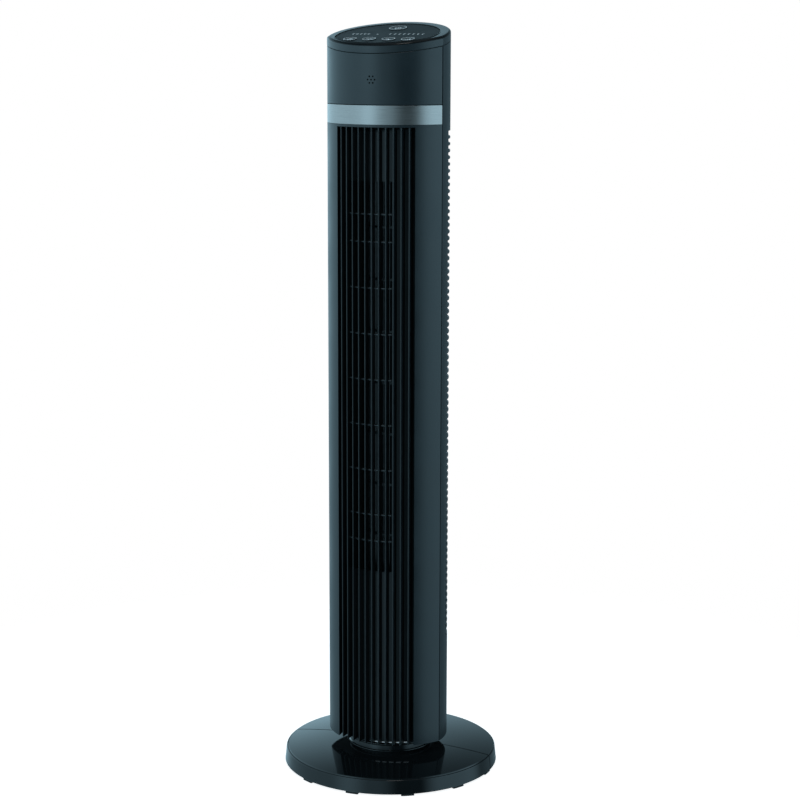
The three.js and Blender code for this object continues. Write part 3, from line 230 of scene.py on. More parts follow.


# %% [markdown]
# The casing is a satin charcoal with a cool cast. The grille is the same plastic, a touch
# darker. The window's bars are painted paler than it, so that they can be told apart: a painted
# highlight for the light that catches their tops. The base and the neck are polished and mirror
# the room. The cap has a polished black margin, and the panel and buttons in it are nearly
# without shine. The printed signs are pale, and their faint glow is painted light. A pale strip
# at the foot of the ribs glows faintly too: a painted highlight for the glints on the ledge there.

# %% Plastics and rubber
SATIN = grained("satin_charcoal", (0.012, 0.019, 0.023), 0.33, 0.9, 0.02)
GRILLE = grained("grille_charcoal", (0.008, 0.012, 0.014), 0.33, 0.9, 0.02)
INNER = grained("inner_black", (0.010, 0.011, 0.012), 0.55, 0.7, 0.03)
GLOSS = grained("polished_black", (0.006, 0.008, 0.009), 0.07, 6.0, 0.004, blotch_mm=90, swing=0.02)
# painted highlight: the bars are paler than the grille, standing for the light that catches their
# tops
BAR_PAINTED_HIGHLIGHT = grained("bar_grey_painted_highlight", (0.075, 0.088, 0.095), 0.3, 0.9, 0.01)
PANEL = grained("panel_smoke", (0.012, 0.017, 0.020), 0.42, 1.2, 0.008, swing=0.03, shine=0.06)
BUTTON = grained("button_smoke", (0.014, 0.020, 0.024), 0.30, 1.2, 0.008, swing=0.03, shine=0.08)
RUBBER = grained("foot_rubber", (0.012, 0.013, 0.014), 0.8, 0.8, 0.06)
# the pale colour is the print's own; its faint glow is painted light
PRINT_WITH_PAINTED_GLOW = grained("pale_print_painted_glow", (0.70, 0.78, 0.80), 0.5, 0.5, 0.005, glow=0.35)
BEZEL = grained("bezel_black", (0.005, 0.006, 0.007), 0.16, 6.0, 0.004, swing=0.03, shine=0.22)
# painted highlight: a pale, faintly glowing strip stands for glints on the ledge at the foot of the
# ribs
RAIL_GLINT_PAINT = grained("pale_painted_glint", (0.62, 0.68, 0.70), 0.8, 0.8, 0.05, glow=0.12)

# %% [markdown]
# The band is brushed round the column: noise squeezed hard in height and drawn out along the
# band gives long fine scratches, in the colour, the shine and the surface alike.


# %% Brushed silver
def brushed_silver():
    material, tree, shader = new_material("brushed_silver")
    scratches = noise(tree, 40, 4.0, (1, 1, 90))
    light_and_dark = drift(tree, scratches, (0.30, 0.28, 0.275), (0.39, 0.37, 0.36))
    tree.links.new(light_and_dark, shader.inputs["Base Color"])
    tree.links.new(spread(tree, scratches, 0.26, 0.36), shader.inputs["Roughness"])
    shader.inputs["Metallic"].default_value = 1.0
    bump(tree, shader, scratches, 0.02, 0.15)
    return material


SILVER = brushed_silver()
print("finishes:", len(bpy.data.materials))

# %% [markdown]
# ## Mesh helpers
# Nearly every piece here is a run of matching outlines joined by strips of faces, which is
# called a loft. One helper turns such outlines into a closed mesh, and two more soften edges
# and cut one mesh with another.


# %% Meshes from rings of points
def make_mesh(name, points, faces):
    mesh = bpy.data.meshes.new(name)
    mesh.from_pydata([Vector(p) * MM for p in points], [], faces)
    shape = bmesh.new()
    shape.from_mesh(mesh)
    bmesh.ops.recalc_face_normals(shape, faces=shape.faces)
    shape.to_mesh(mesh)
    shape.free()
    piece = bpy.data.objects.new(name, mesh)
    bpy.context.scene.collection.objects.link(piece)
    return piece


def loft(name, rings, capped=True, round_again=False):
    count = len(rings[0])
    points = [p for ring in rings for p in ring]
    faces = []
    pairs = len(rings) if round_again else len(rings) - 1
    for i in range(pairs):
        a, b = i * count, ((i + 1) % len(rings)) * count
        for j in range(count):
            k = (j + 1) % count
            faces.append((a + j, a + k, b + k, b + j))
    if capped and not round_again:
        faces.append(tuple(range(count)))
        faces.append(tuple(reversed(range((len(rings) - 1) * count, len(rings) * count))))
    return make_mesh(name, points, faces)


def height(value, x, y):
    return value(x, y) if callable(value) else value


def upright(name, outline, bottom, top):
    """A plan outline drawn straight up; bottom and top may follow the slanted top."""
    return loft(name, [[(x, y, height(z, x, y)) for x, y in outline] for z in (bottom, top)])


def closed_poles(piece):
    """Merges the points that lie on the axis and drops the line that is left between them."""
    shape = bmesh.new()
    shape.from_mesh(piece.data)
    bmesh.ops.remove_doubles(shape, verts=shape.verts, dist=1e-7)
    loose = [edge for edge in shape.edges if not edge.link_faces]
    bmesh.ops.delete(shape, geom=loose, context="EDGES")
    bmesh.ops.recalc_face_normals(shape, faces=shape.faces)
    shape.to_mesh(piece.data)
    shape.free()
    return piece


def turned(name, section, steps=96, x=0.0, y=0.0):
    """A section of (radius, height) pairs turned about an upright axis; radius 0 is its middle."""
    rings = []
    for i in range(steps):
        angle = 2 * math.pi * i / steps
        rings.append([(x + r * math.cos(angle), y + r * math.sin(angle), z) for r, z in section])
    return closed_poles(loft(name, rings, round_again=True))


# %% Softening, cutting and joining
def bake_modifiers(piece):
    depsgraph = bpy.context.evaluated_depsgraph_get()
    mesh = bpy.data.meshes.new_from_object(piece.evaluated_get(depsgraph))
    piece.modifiers.clear()
    old = piece.data
    piece.data = mesh
    bpy.data.meshes.remove(old)
    return piece


def soften(piece, width_mm, segments=3, angle=35):
    bevel = piece.modifiers.new("soften", "BEVEL")
    bevel.width = width_mm * MM
    bevel.segments = segments
    bevel.limit_method = "ANGLE"
    bevel.angle_limit = math.radians(angle)
    bevel.use_clamp_overlap = True
    return bake_modifiers(piece)


def combine(piece, other, operation="DIFFERENCE"):
    boolean = piece.modifiers.new("combine", "BOOLEAN")
    boolean.object = other
    boolean.operation = operation
    boolean.solver = "EXACT"
    bake_modifiers(piece)
    bpy.data.objects.remove(other)
    return piece


def gather(name, pieces):
    """Several closed bodies as one mesh, where one moulding has many loose details."""
    shape = bmesh.new()
    for piece in pieces:
        piece.data.transform(piece.matrix_world)
        shape.from_mesh(piece.data)
        bpy.data.objects.remove(piece)
    mesh = bpy.data.meshes.new(name)
    shape.to_mesh(mesh)
    shape.free()
    whole = bpy.data.objects.new(name, mesh)
    bpy.context.scene.collection.objects.link(whole)
    return whole


# %% Giving a piece its finish, its body and the node that it stands for
def place(piece, material, body, slot, *nodes, smooth=35):
    piece.data.materials.clear()
    piece.data.materials.append(material)
    for face in piece.data.polygons:
        face.use_smooth = True
    piece.data.set_sharp_from_angle(angle=math.radians(smooth))
    even = piece.modifiers.new("even_shading", "WEIGHTED_NORMAL")
    even.keep_sharp = True
    bake_modifiers(piece)
    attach(piece, body)
    if nodes:
        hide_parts(*nodes)
    print(piece.name, len(piece.data.polygons), "faces")
    return piece


# %% [markdown]
# ## The column's outline
# Seen from above the column is a lens: a front arc and a rear arc that meet at two corners.
# Every wall, strip and rib is measured inwards from one of these two arcs, so one small class
# holds what an arc needs to know.


# %% Arcs
class Arc:
    def __init__(self, half_width, corner_y, tip_y):
        rise = abs(tip_y - corner_y)
        self.radius = (half_width**2 + rise**2) / (2 * rise)
        self.side = math.copysign(1, tip_y - corner_y)
        self.centre = tip_y - self.side * self.radius

    def at(self, inset, angle):
        reach = self.radius - inset
        return (reach * math.sin(angle), self.centre + self.side * reach * math.cos(angle))

    def angle(self, inset, x):
        return math.asin(x / (self.radius - inset))

    def run(self, inset, start, end, steps):
        return [self.at(inset, start + (end - start) * i / steps) for i in range(steps + 1)]


def corner(front, rear, inset):
    a, b = front.radius - inset, rear.radius - inset
    y = (b**2 - a**2 + front.centre**2 - rear.centre**2) / (2 * (front.centre - rear.centre))
    return math.acos((front.centre - y) / a), math.acos((y - rear.centre) / b)


def lens(front, rear, inset, fillet, front_steps=48, rear_steps=64, corner_steps=6):
    """Both arcs, with corners rounded to the fillet's radius."""
    front_angle, rear_angle = corner(front, rear, inset + fillet)
    right = front.at(inset + fillet, front_angle)
    turn = [front_angle - math.pi / 2, math.pi / 2 - rear_angle]
    bend = []
    for i in range(1, corner_steps):
        angle = turn[0] + (turn[1] - turn[0]) * i / corner_steps
        bend.append((right[0] + fillet * math.cos(angle), right[1] + fillet * math.sin(angle)))
    mirrored = [(-x, y) for x, y in reversed(bend)]
    front_run = front.run(inset, -front_angle, front_angle, front_steps)
    rear_run = rear.run(inset, rear_angle, -rear_angle, rear_steps)
    return front_run + bend + rear_run + mirrored


FRONT = Arc(HALF_WIDTH, CORNER_Y, FRONT_Y)
REAR = Arc(HALF_WIDTH, CORNER_Y, REAR_Y)
FRONT_CORNER, REAR_CORNER = corner(FRONT, REAR, 0)
FRONT_END = FRONT_CORNER - GROOVE / 2 / FRONT.radius
REAR_END = REAR_CORNER - GROOVE / 2 / REAR.radius
print("front arc radius %.1f, rear arc radius %.1f" % (FRONT.radius, REAR.radius))


# %% Strips of shell, and the slope of the top
def strip(name, arc, outer, inner, start, end, steps, bottom, top):
    outline = arc.run(outer, start, end, steps) + arc.run(inner, end, start, steps)
    return upright(name, outline, bottom, top)


def slope(offset):
    """Height of a plane that lies offset above the slanted top."""
    return lambda x, y: TOP_HEIGHT + y * math.tan(TILT) + offset / math.cos(TILT)


UNDER_CAP = slope(-CAP_THICKNESS - FIT)
TOP_PLANE = Matrix.Translation((0, 0, TOP_HEIGHT * MM)) @ Matrix.Rotation(TILT, 4, "X")

# %% [markdown]
# ## Front shell
# The front shell is one moulding: two smooth cheeks that turn back into the recess, a bridge
# over the grille that carries the silver band, and a low rail that ties the cheeks together
# behind the lower ends of the ribs. The parts are made as simple solids and joined, and then
# all their edges are softened at once.


# %% Cheeks
def cheek(side):
    back = RECESS_DEPTH + PLATE_THICKNESS
    side_wall = RECESS_HALF + RECESS_SIDE_WALL
    outside = FRONT.run(0, FRONT.angle(0, RECESS_HALF), FRONT_END, 48)
    inside = FRONT.run(WALL, FRONT_END, FRONT.angle(WALL, side_wall), 16)
    wall_back = FRONT.at(back, FRONT.angle(back, RECESS_HALF))[1]
    outline = outside + inside + [(side_wall, wall_back), (RECESS_HALF, wall_back)]
    return upright("cheek", [(side * x, y) for x, y in outline], COLUMN_BOTTOM, RECESS_TOP + 1)


# %% Front shell
def front_shell():
    behind_band = BAND_THICKNESS + FIT
    rail_back = RECESS_DEPTH + RAIL_THICKNESS
    reach = FRONT.angle(rail_back, RECESS_HALF + 1)
    shell = strip("front_shell", FRONT, 0, WALL + behind_band, -FRONT_END, FRONT_END, 48,
                  RECESS_TOP, BAND_BOTTOM - FIT)
    shell = combine(shell, strip("neck", FRONT, behind_band, WALL + behind_band, -FRONT_END,
                                 FRONT_END, 48, RECESS_TOP + 1, BAND_TOP), "UNION")
    for side in (-1, 1):
        shell = combine(shell, cheek(side), "UNION")
    rail = strip("rail", FRONT, RECESS_DEPTH, rail_back, -reach, reach, 32, COLUMN_BOTTOM, RAIL_TOP)
    shell = combine(shell, rail, "UNION")
    return place(soften(shell, 0.7), SATIN, "column", "shell_plastic", "front_shell")


front_shell()

# %% [markdown]
# ## Grille
# Eleven upright ribs stand in front of a curved plate with a tall window in it. The section is
# a comb: the floors of the channels follow the arc, and each rib has a little draft and a
# rounded tip. Near the top the floors sweep forward until the channels close in a round end.
# Thin bars cross the window and stand a little in front of the plate.

# %% Section of the grille
GRILLE_HALF = RECESS_HALF - FIT
GRILLE_TOP = RECESS_TOP - FIT
CHANNEL_END = 7.0
RIB_ROOT = 1.25
RIB_TIP = 0.9
CLOSED_FLOOR = RIB_SETBACK + 1.2  # depth of a channel where it has closed


def rib_places():
    return [(i - (RIB_COUNT - 1) / 2) * RIB_PITCH for i in range(RIB_COUNT)]


def front_y(x, inset):
    return FRONT.at(inset, FRONT.angle(inset, x))[1]


def comb(z):
    rise = min(max((z - GRILLE_TOP + CHANNEL_END) / CHANNEL_END, 0), 1)
    floor = CLOSED_FLOOR + (RECESS_DEPTH - CLOSED_FLOOR) * math.sqrt(1 - rise**2)
    ribs = rib_places()
    outline = [(-GRILLE_HALF, front_y(-GRILLE_HALF, RECESS_DEPTH))]
    for i, x in enumerate(ribs):
        left = RECESS_DEPTH if i == 0 else floor
        right = RECESS_DEPTH if i == RIB_COUNT - 1 else floor
        shoulder = front_y(x, RIB_SETBACK) + RIB_TIP
        outline.append((x - RIB_ROOT, front_y(x - RIB_ROOT, left)))
        for step in range(7):
            angle = math.pi * (1 - step / 6)
            outline.append((x + RIB_TIP * math.cos(angle), shoulder - RIB_TIP * math.sin(angle)))
        outline.append((x + RIB_ROOT, front_y(x + RIB_ROOT, right)))
    outline.append((GRILLE_HALF, front_y(GRILLE_HALF, RECESS_DEPTH)))
    back = RECESS_DEPTH + PLATE_THICKNESS
    reach = FRONT.angle(back, GRILLE_HALF)
    outline += FRONT.run(back, reach, -reach, 32)
    return [(x, y, z) for x, y in outline]


# %% Grille with its window
def window_gaps():
    middle = (WINDOW_BOTTOM + WINDOW_TOP) / 2
    half_bar = BAR_HEIGHT / 2
    reach = (WINDOW_TOP - WINDOW_BOTTOM) / 2 - BAR_END_GAP
    inner = int((reach - BAR_PITCH / 3) // BAR_PITCH)
    bars = [middle + i * BAR_PITCH for i in range(-inner, inner + 1)]
    bars = [middle - reach, *bars, middle + reach]
    edges = [WINDOW_BOTTOM - half_bar, *bars, WINDOW_TOP + half_bar]
    return [(a + half_bar, b - half_bar) for a, b in zip(edges, edges[1:])]


def front_grille():
    bottom = COLUMN_BOTTOM + FIT
    rounding = [GRILLE_TOP - CHANNEL_END * (1 - i / 12) for i in range(13)]
    grille = loft("front_grille", [comb(z) for z in [bottom, *rounding]])
    left = FRONT.angle(RECESS_DEPTH, WINDOW_LEFT)
    right = FRONT.angle(RECESS_DEPTH, WINDOW_RIGHT)
    behind = RECESS_DEPTH + 3 * PLATE_THICKNESS
    for bottom, top in window_gaps():
        gap = strip("gap", FRONT, RECESS_DEPTH - 0.1, behind, left, right, 20, bottom, top)
        grille = combine(grille, gap)
    bars = [strip("bar", FRONT, RECESS_DEPTH - BAR_PROUD, RECESS_DEPTH + 1, left, right, 20,
                  z - BAR_HEIGHT, z) for z, _ in window_gaps()[1:]]
    # the bars take the paler finish, a painted highlight
    place(gather("window_bars", [soften(bar, 0.8, 3) for bar in bars]), BAR_PAINTED_HIGHLIGHT, "column",
          "grille_plastic")
    under = FRONT.angle(RECESS_DEPTH, GRILLE_HALF) * 1.2
    rail_space = strip("rail_space", FRONT, RECESS_DEPTH - FIT, behind + 5, -under, under, 32,
                       0, RAIL_TOP + FIT)
    return place(combine(grille, rail_space), GRILLE, "column", "grille_plastic", "front_grille",
                 smooth=40)


# painted highlight: the pale glowing strip between the rib feet
GLINT_FIRST_RIB = 5  # counted from 0 at the left; the strip runs right from here
GLINT_SIDE_GAP = 1.5
GLINT_THICKNESS = 1.0
GLINT_BOTTOM, GLINT_TOP = COLUMN_BOTTOM + 0.5, COLUMN_BOTTOM + 1.7


def rail_painted_glint():
    """A pale strip on the rail that glows faintly between the feet of the ribs on one side: a
    painted highlight for the glints on the ledge there.
    """
    parts = []
    ribs = rib_places()[GLINT_FIRST_RIB:]
    for a, b in zip(ribs, ribs[1:]):
        ends = (a + GLINT_SIDE_GAP, b - GLINT_SIDE_GAP)
        start, end = (FRONT.angle(RECESS_DEPTH, x) for x in ends)
        parts.append(strip("glint_piece", FRONT, RECESS_DEPTH - GLINT_THICKNESS, RECESS_DEPTH, start, end,
                           4, GLINT_BOTTOM, GLINT_TOP))
    return place(gather("rail_painted_glint", parts), RAIL_GLINT_PAINT, "column", "inner_plastic")


front_grille()
rail_painted_glint()

# %% [markdown]
# ## Rear shell and intake
# The rear shell wraps round the back. Most of it is open: a tall stack of slim fins runs from
# one side post to the other, and each fin has a rounded outer edge. A fin is its section swept
# along the rear arc, so a loop makes the whole stack. Upright stays tie the fins together on
# the inside, and stop short of the plates that carry the motor and the bearing.

# %% Fins and stays
FIN_PITCH = 9.0
FIN_HEIGHT = 4.2
FIN_DEPTH = 4.0
FIN_ROUND = 1.5
FIN_BACK_EDGE = 0.4  # how much lower the back of a fin is, above and below
FIN_OVERLAP = 0.008  # radians that a fin reaches into each side post
PLATE_EDGE = 3.0  # the thickest edge of a plate
STAY_DEGREES = (-68, -34, 0, 34, 68)
STAY_HALF_WIDTH = 0.9


def plate_spans():
    return [(low(node, "z"), min(high(node, "z"), low(node, "z") + PLATE_EDGE)) for node in PLATES]


def fin_depth(z):
    near = any(a - FIN_HEIGHT < z < b + FIN_HEIGHT for a, b in plate_spans())
    return WALL if near else FIN_DEPTH


def fin(z, steps=44):
    deep = fin_depth(z)
    half = FIN_HEIGHT / 2
    section = [(deep, -half + FIN_BACK_EDGE), (deep, half - FIN_BACK_EDGE)]
    for i in range(5):
        angle = math.pi / 2 * i / 4
        section.append((FIN_ROUND * (1 - math.sin(angle)),
                        half - FIN_ROUND * (1 - math.cos(angle))))
    for i in range(5):
        angle = math.pi / 2 * (1 - i / 4)
        section.append((FIN_ROUND * (1 - math.sin(angle)),
                        -half + FIN_ROUND * (1 - math.cos(angle))))
    rings = []
    reach = INTAKE_HALF_ANGLE + FIN_OVERLAP
    for i in range(steps + 1):
        angle = -reach + 2 * reach * i / steps
        rings.append([(*REAR.at(inset, angle), z + rise) for inset, rise in section])
    return loft("fin", rings)


def between_plates(bottom, top):
    spans = []
    for a, b in plate_spans():
        if bottom < a < top:
            spans.append((bottom, a - FIT))
            bottom = b + FIT
    return [*spans, (bottom, top)]


def stays():
    made = []
    for degrees in STAY_DEGREES:
        angle = math.radians(degrees)
        wide = STAY_HALF_WIDTH / REAR.radius
        for bottom, top in between_plates(INTAKE_BOTTOM - 2, INTAKE_TOP + 2):
            made.append(strip("stay", REAR, WALL - 0.2, FIN_DEPTH + 2, angle - wide,
                              angle + wide, 1, bottom, top))
    return made


# %% Screw wells
WELL_DEPTH = 9.0
WELL_RADIUS = 6.0
WELL_BORE = 4.1
SHANK_HOLE = 1.9


def case_screws():
    names = [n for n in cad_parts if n.startswith("case_screw_")]
    return [((low(n, "x") + high(n, "x")) / 2, (low(n, "z") + high(n, "z")) / 2) for n in names]


def rod_along_y(name, radius, y0, y1, x, z, sides=28):
    rings = []
    for y in (y0, y1):
        rings.append([(x + radius * math.cos(2 * math.pi * i / sides), y,
                       z + radius * math.sin(2 * math.pi * i / sides)) for i in range(sides)])
    return loft(name, rings)


def add_wells(shell):
    for x, z in case_screws():
        mouth = REAR.at(0, REAR.angle(0, x))[1]
        floor = mouth - WELL_DEPTH
        outside = REAR.at(0.6, REAR.angle(0.6, abs(x) + WELL_RADIUS))[1]
        shell = combine(shell, rod_along_y("tube", WELL_RADIUS, floor - 2, outside, x, z), "UNION")
        shell = combine(shell, rod_along_y("bore", WELL_BORE, floor, mouth + 20, x, z))
        shell = combine(shell, rod_along_y("shank", SHANK_HOLE, floor - 4, mouth, x, z, 16))
    return shell


# %% Rear shell
def seam_lips():
    """Inner strips that close the two grooves between the shells, as the real ones overlap."""
    made = []
    inner_front, inner_rear = corner(FRONT, REAR, WALL + 0.1)
    for bottom, top in between_plates(COLUMN_BOTTOM + 0.5, BAND_TOP + 40):
        for side in (-1, 1):
            outer = [REAR.at(WALL - 0.3, inner_rear - 0.10), REAR.at(WALL - 0.3, inner_rear - 0.05),
                     REAR.at(WALL + 0.1, inner_rear), FRONT.at(WALL + 0.4, inner_front - 0.05)]
            inner = [(x * 0.982, y) for x, y in reversed(outer)]
            made.append(upright("lip", [(side * x, y) for x, y in outer + inner], bottom, top))
    return made


def rear_shell():
    shell = strip("rear_shell", REAR, 0, WALL, -REAR_END, REAR_END, 96, COLUMN_BOTTOM, UNDER_CAP)
    opening = strip("opening", REAR, -3, WALL + 3, -INTAKE_HALF_ANGLE, INTAKE_HALF_ANGLE, 48,
                    INTAKE_BOTTOM, INTAKE_TOP)
    shell = soften(add_wells(combine(shell, opening)), 0.6)
    count = round((INTAKE_TOP - INTAKE_BOTTOM) / FIN_PITCH)
    pitch = (INTAKE_TOP - INTAKE_BOTTOM) / count
    fins = [fin(INTAKE_BOTTOM + pitch * i) for i in range(1, count)]
    whole = gather("rear_shell", [shell, *fins, *stays(), *seam_lips()])
    return place(whole, SATIN, "column", "shell_plastic", "rear_shell", smooth=38)


rear_shell()

# %% [markdown]
# ## Head
# Above the grille the front is one plain curved skin with a small ring of sound holes, and the
# silver band is a thin strip let into the shell below it.


# %% Head and band
SOUND_HOLE_RADIUS = 1.15
SOUND_HOLE_REACH = 4.8  # from the middle hole to the six round it


def head_front():
    skin = strip("head_front", FRONT, 0, WALL, -FRONT_END, FRONT_END, 64, BAND_TOP + 2 * FIT,
                 UNDER_CAP)
    skin = soften(skin, 0.6)
    middle = (low("sounder", "z") + high("sounder", "z")) / 2
    for i in range(7):
        reach = SOUND_HOLE_REACH if i < 6 else 0
        x = reach * math.cos(i * math.pi / 3)
        z = middle + reach * math.sin(i * math.pi / 3)
        hole = rod_along_y("hole", SOUND_HOLE_RADIUS, FRONT_Y - 5, FRONT_Y + 8, x, z, 20)
        skin = combine(skin, hole)
    return place(skin, SATIN, "column", "shell_plastic", "head_front")


def head_band():
    band = strip("head_band", FRONT, 0, BAND_THICKNESS, -FRONT_END, FRONT_END, 64, BAND_BOTTOM,
                 BAND_TOP)
    return place(soften(band, 0.35, 2), SILVER, "column", "silver_trim", "head_band")


head_front()
head_band()

# %% [markdown]
# ## Top cap
# The cap closes the column on a slant. Its rings run up the outer wall, over a soft shoulder,
# across the polished black margin, over a low raised lip round the panel, and down into the
# pocket. The inside is a second run of rings, so the cap is a real shell.

# %% Outline of the control panel, in the slanted plane
PANEL_SIDE_MARGIN, PANEL_FRONT_MARGIN, PANEL_REAR_MARGIN = 16.0, 5.5, 18.0
PANEL_HALF = HALF_WIDTH - PANEL_SIDE_MARGIN
PANEL_CORNER = (CORNER_Y - 9.7) / math.cos(TILT)
PANEL_FRONT = Arc(PANEL_HALF, PANEL_CORNER, (FRONT_Y + PANEL_FRONT_MARGIN) / math.cos(TILT))
PANEL_REAR = Arc(PANEL_HALF, PANEL_CORNER, (REAR_Y - PANEL_REAR_MARGIN) / math.cos(TILT))
CAP_FILLET = 2.5
SHOULDER_WIDTH = 3.6
SHOULDER_DROP = 3.0
STEM_HOLE = 3.6


def in_top_plane(x, y, rise):
    return tuple(TOP_PLANE @ Vector((x * MM, y * MM, rise * MM)) / MM)


def cap_ring(inset, rise):
    fillet = max(CAP_FILLET - inset, 0.4)
    return [(x, y, slope(rise)(x, y)) for x, y in lens(FRONT, REAR, inset, fillet)]


def panel_ring(inset, rise):
    outline = lens(PANEL_FRONT, PANEL_REAR, inset, 3.0 - min(inset, 2.5))
    return [in_top_plane(x, y, rise) for x, y in outline]


# %% Cap
def button_places():
    nodes = sorted(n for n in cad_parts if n.startswith("button_"))
    found = {}
    for node in nodes:
        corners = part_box(node)
        middle = (corners[0] + corners[1]) / 2
        flat = TOP_PLANE.inverted() @ middle
        found[node] = (flat.x / MM, flat.y / MM, (corners[1].x - corners[0].x) / 2 / MM)
    return found


BUTTONS = button_places()
BUTTON_ROW = BUTTONS["button_1"][1]


def tilted(piece):
    piece.data.transform(TOP_PLANE)
    return piece


def top_cap():
    rings = [cap_ring(WALL, -4.5), cap_ring(WALL, -CAP_THICKNESS), cap_ring(0.5, -CAP_THICKNESS),
             cap_ring(0, -CAP_THICKNESS + 0.5)]
    for i in range(7):
        angle = math.pi / 2 * i / 6
        rings.append(cap_ring(SHOULDER_WIDTH * (1 - math.cos(angle)),
                              -SHOULDER_DROP * (1 - math.sin(angle))))
    pocket = [(-1.6, 0.02), (-1.55, 0.45), (-1.3, 0.7), (-0.95, 0.6), (-0.75, 0.2), (-0.7, -2.3)]
    rings += [panel_ring(inset, rise) for inset, rise in pocket]
    cap = loft("top_cap", rings)
    for x, y, _ in BUTTONS.values():
        hole = [(0, -6), (STEM_HOLE, -6), (STEM_HOLE, 0), (0, 0)]
        cap = combine(cap, tilted(turned("hole", hole, 24, x, y)))
    place(cap, SATIN, "column", "shell_plastic", "top_cap", smooth=30)
    cap.data.materials.append(BEZEL)
    for face in cap.data.polygons:
        rise = (TOP_PLANE.inverted() @ face.center).z / MM
        face.material_index = 1 if rise > -SHOULDER_DROP - 0.1 else 0
    return cap


top_cap()

# %% [markdown]
# ## Control panel
# The panel is a thin smoked plate let into the cap with a dark gap round it. Four buttons sit
# in a row near its front edge and the larger power button behind them. Each button is turned:
# a shallow dish, a rounded rim and a stem below. The signs are generic and printed pale.

# %% Panel and buttons
PROUD = 0.8
SINK = 1.2
STEM_RADIUS = 3.0
STEM_FOOT = -9.2


def control_panel():
    edge = [(0.2, -2.0), (0, -1.8), (0, -0.35), (0.12, -0.1), (0.4, 0)]
    panel = loft("control_panel", [panel_ring(inset, rise) for inset, rise in edge])
    for x, y, radius in BUTTONS.values():
        hole = [(0, -4), (radius + FIT, -4), (radius + FIT, 2), (0, 2)]
        panel = combine(panel, tilted(turned("hole", hole, 64, x, y)))
    return place(panel, PANEL, "column", "gloss_plastic", "control_panel", smooth=30)


def button(node):
    x, y, radius = BUTTONS[node]
    section = [(0, STEM_FOOT), (STEM_RADIUS, STEM_FOOT), (STEM_RADIUS, -SINK), (radius, -SINK),
               (radius, PROUD - 0.5),
               (radius - 0.15, PROUD - 0.15), (radius - 0.5, PROUD), (radius - 1.1, PROUD),
               (radius - 1.4, PROUD - 0.3), (radius * 0.5, PROUD - 0.45), (0, PROUD - 0.5)]
    piece = tilted(turned(node, section, 64, x, y))
    return place(piece, BUTTON, node, "button_plastic", node, smooth=30)


control_panel()
for node in BUTTONS:
    button(node)


# %% Printed signs
def flat_shape(outline, rise):
    return loft("mark", [[(x, y, z) for x, y in outline] for z in (rise, rise + 0.08)])


def bar_mark(x, y, width, length, rise, angle=0.0):
    c, s = math.cos(angle), math.sin(angle)
    corners = [(-width / 2, -length / 2), (width / 2, -length / 2), (width / 2, length / 2),
               (-width / 2, length / 2)]
    return flat_shape([(x + a * c - b * s, y + a * s + b * c) for a, b in corners], rise)


def arc_mark(x, y, radius, width, start, end, rise, steps=24):
    outline = []
    for r, backwards in ((radius + width / 2, False), (radius - width / 2, True)):
        run = [math.radians(start + (end - start) * i / steps) for i in range(steps + 1)]
        for angle in reversed(run) if backwards else run:
            outline.append((x + r * math.cos(angle), y + r * math.sin(angle)))
    return flat_shape(outline, rise)


def dot_mark(x, y, radius, rise):
    turns = [i * math.pi / 8 for i in range(16)]
    outline = [(x + radius * math.cos(turn), y + radius * math.sin(turn)) for turn in turns]
    return flat_shape(outline, rise)


PRINT_RISE = PROUD - 0.52
LINE = 0.75


def timer_sign(x, y):
    return [arc_mark(x, y, 3.4, LINE, 0, 360, PRINT_RISE),
            bar_mark(x, y + 1, LINE, 2.4, PRINT_RISE),
            bar_mark(x + 0.9, y - 0.2, 2.0, LINE, PRINT_RISE)]


def swing_sign(x, y):
    return [arc_mark(x, y - 2.4, 4.6, LINE, 35, 145, PRINT_RISE),
            bar_mark(x - 3.4, y + 1.4, LINE, 2.4, PRINT_RISE, 0.5),
            bar_mark(x + 3.4, y + 1.4, LINE, 2.4, PRINT_RISE, -0.5),
            dot_mark(x, y - 2.2, 0.9, PRINT_RISE)]


def mode_sign(x, y):
    return [arc_mark(x + s, y - 0.4 * s / abs(s), 1.7, LINE, a, a + 180, PRINT_RISE)
            for s, a in ((-1.7, 0), (1.7, 180))] + [bar_mark(x, y - 3.4, 6.6, LINE, PRINT_RISE)]


def speed_sign(x, y):
    return [bar_mark(x - 2.8 + 2.8 * i, y - 2 + 0.8 * i, 1.1, 2.2 + 1.6 * i, PRINT_RISE)
            for i in range(3)]


def power_sign(x, y):
    return [arc_mark(x, y, 3.9, 0.95, -235, 55, PRINT_RISE),
            bar_mark(x, y + 3, 0.95, 4.4, PRINT_RISE)]


SIGNS = {"button_1": timer_sign, "button_2": swing_sign, "button_3": mode_sign,
         "button_4": speed_sign, "button_power": power_sign}
for node, draw in SIGNS.items():
    x, y, radius = BUTTONS[node]
    rim = arc_mark(x, y, radius - 0.8, 0.5, 0, 360, PROUD, 48)
    sign = tilted(gather(node + "_sign", [*draw(x, y), rim]))
    # pale print with a painted glow
    place(sign, PRINT_WITH_PAINTED_GLOW, node, "button_plastic", smooth=30)

# %% [markdown]
# Between the two rows lies a line of small lamps with short ticks above them: a group of five,
# one alone, and a group of eight.

# %% Lamps and ticks
LAMP_ROW = BUTTON_ROW + 32.6
LAMP_GROUPS = [(-48.8, 5, 5.4), (-14.0, 1, 0), (3.4, 8, 6.5)]


def lamps():
    marks = []
    for start, count, gap in LAMP_GROUPS:
        for i in range(count):
            x = start + gap * i
            marks.append(dot_mark(x, LAMP_ROW, 1.0, 0.0))
            if count > 1:
                marks.append(bar_mark(x, LAMP_ROW + 4, 2.6, 0.7, 0.0))
    return place(tilted(gather("panel_lamps", marks)), PRINT_WITH_PAINTED_GLOW, "column", "gloss_plastic", smooth=30)


lamps()

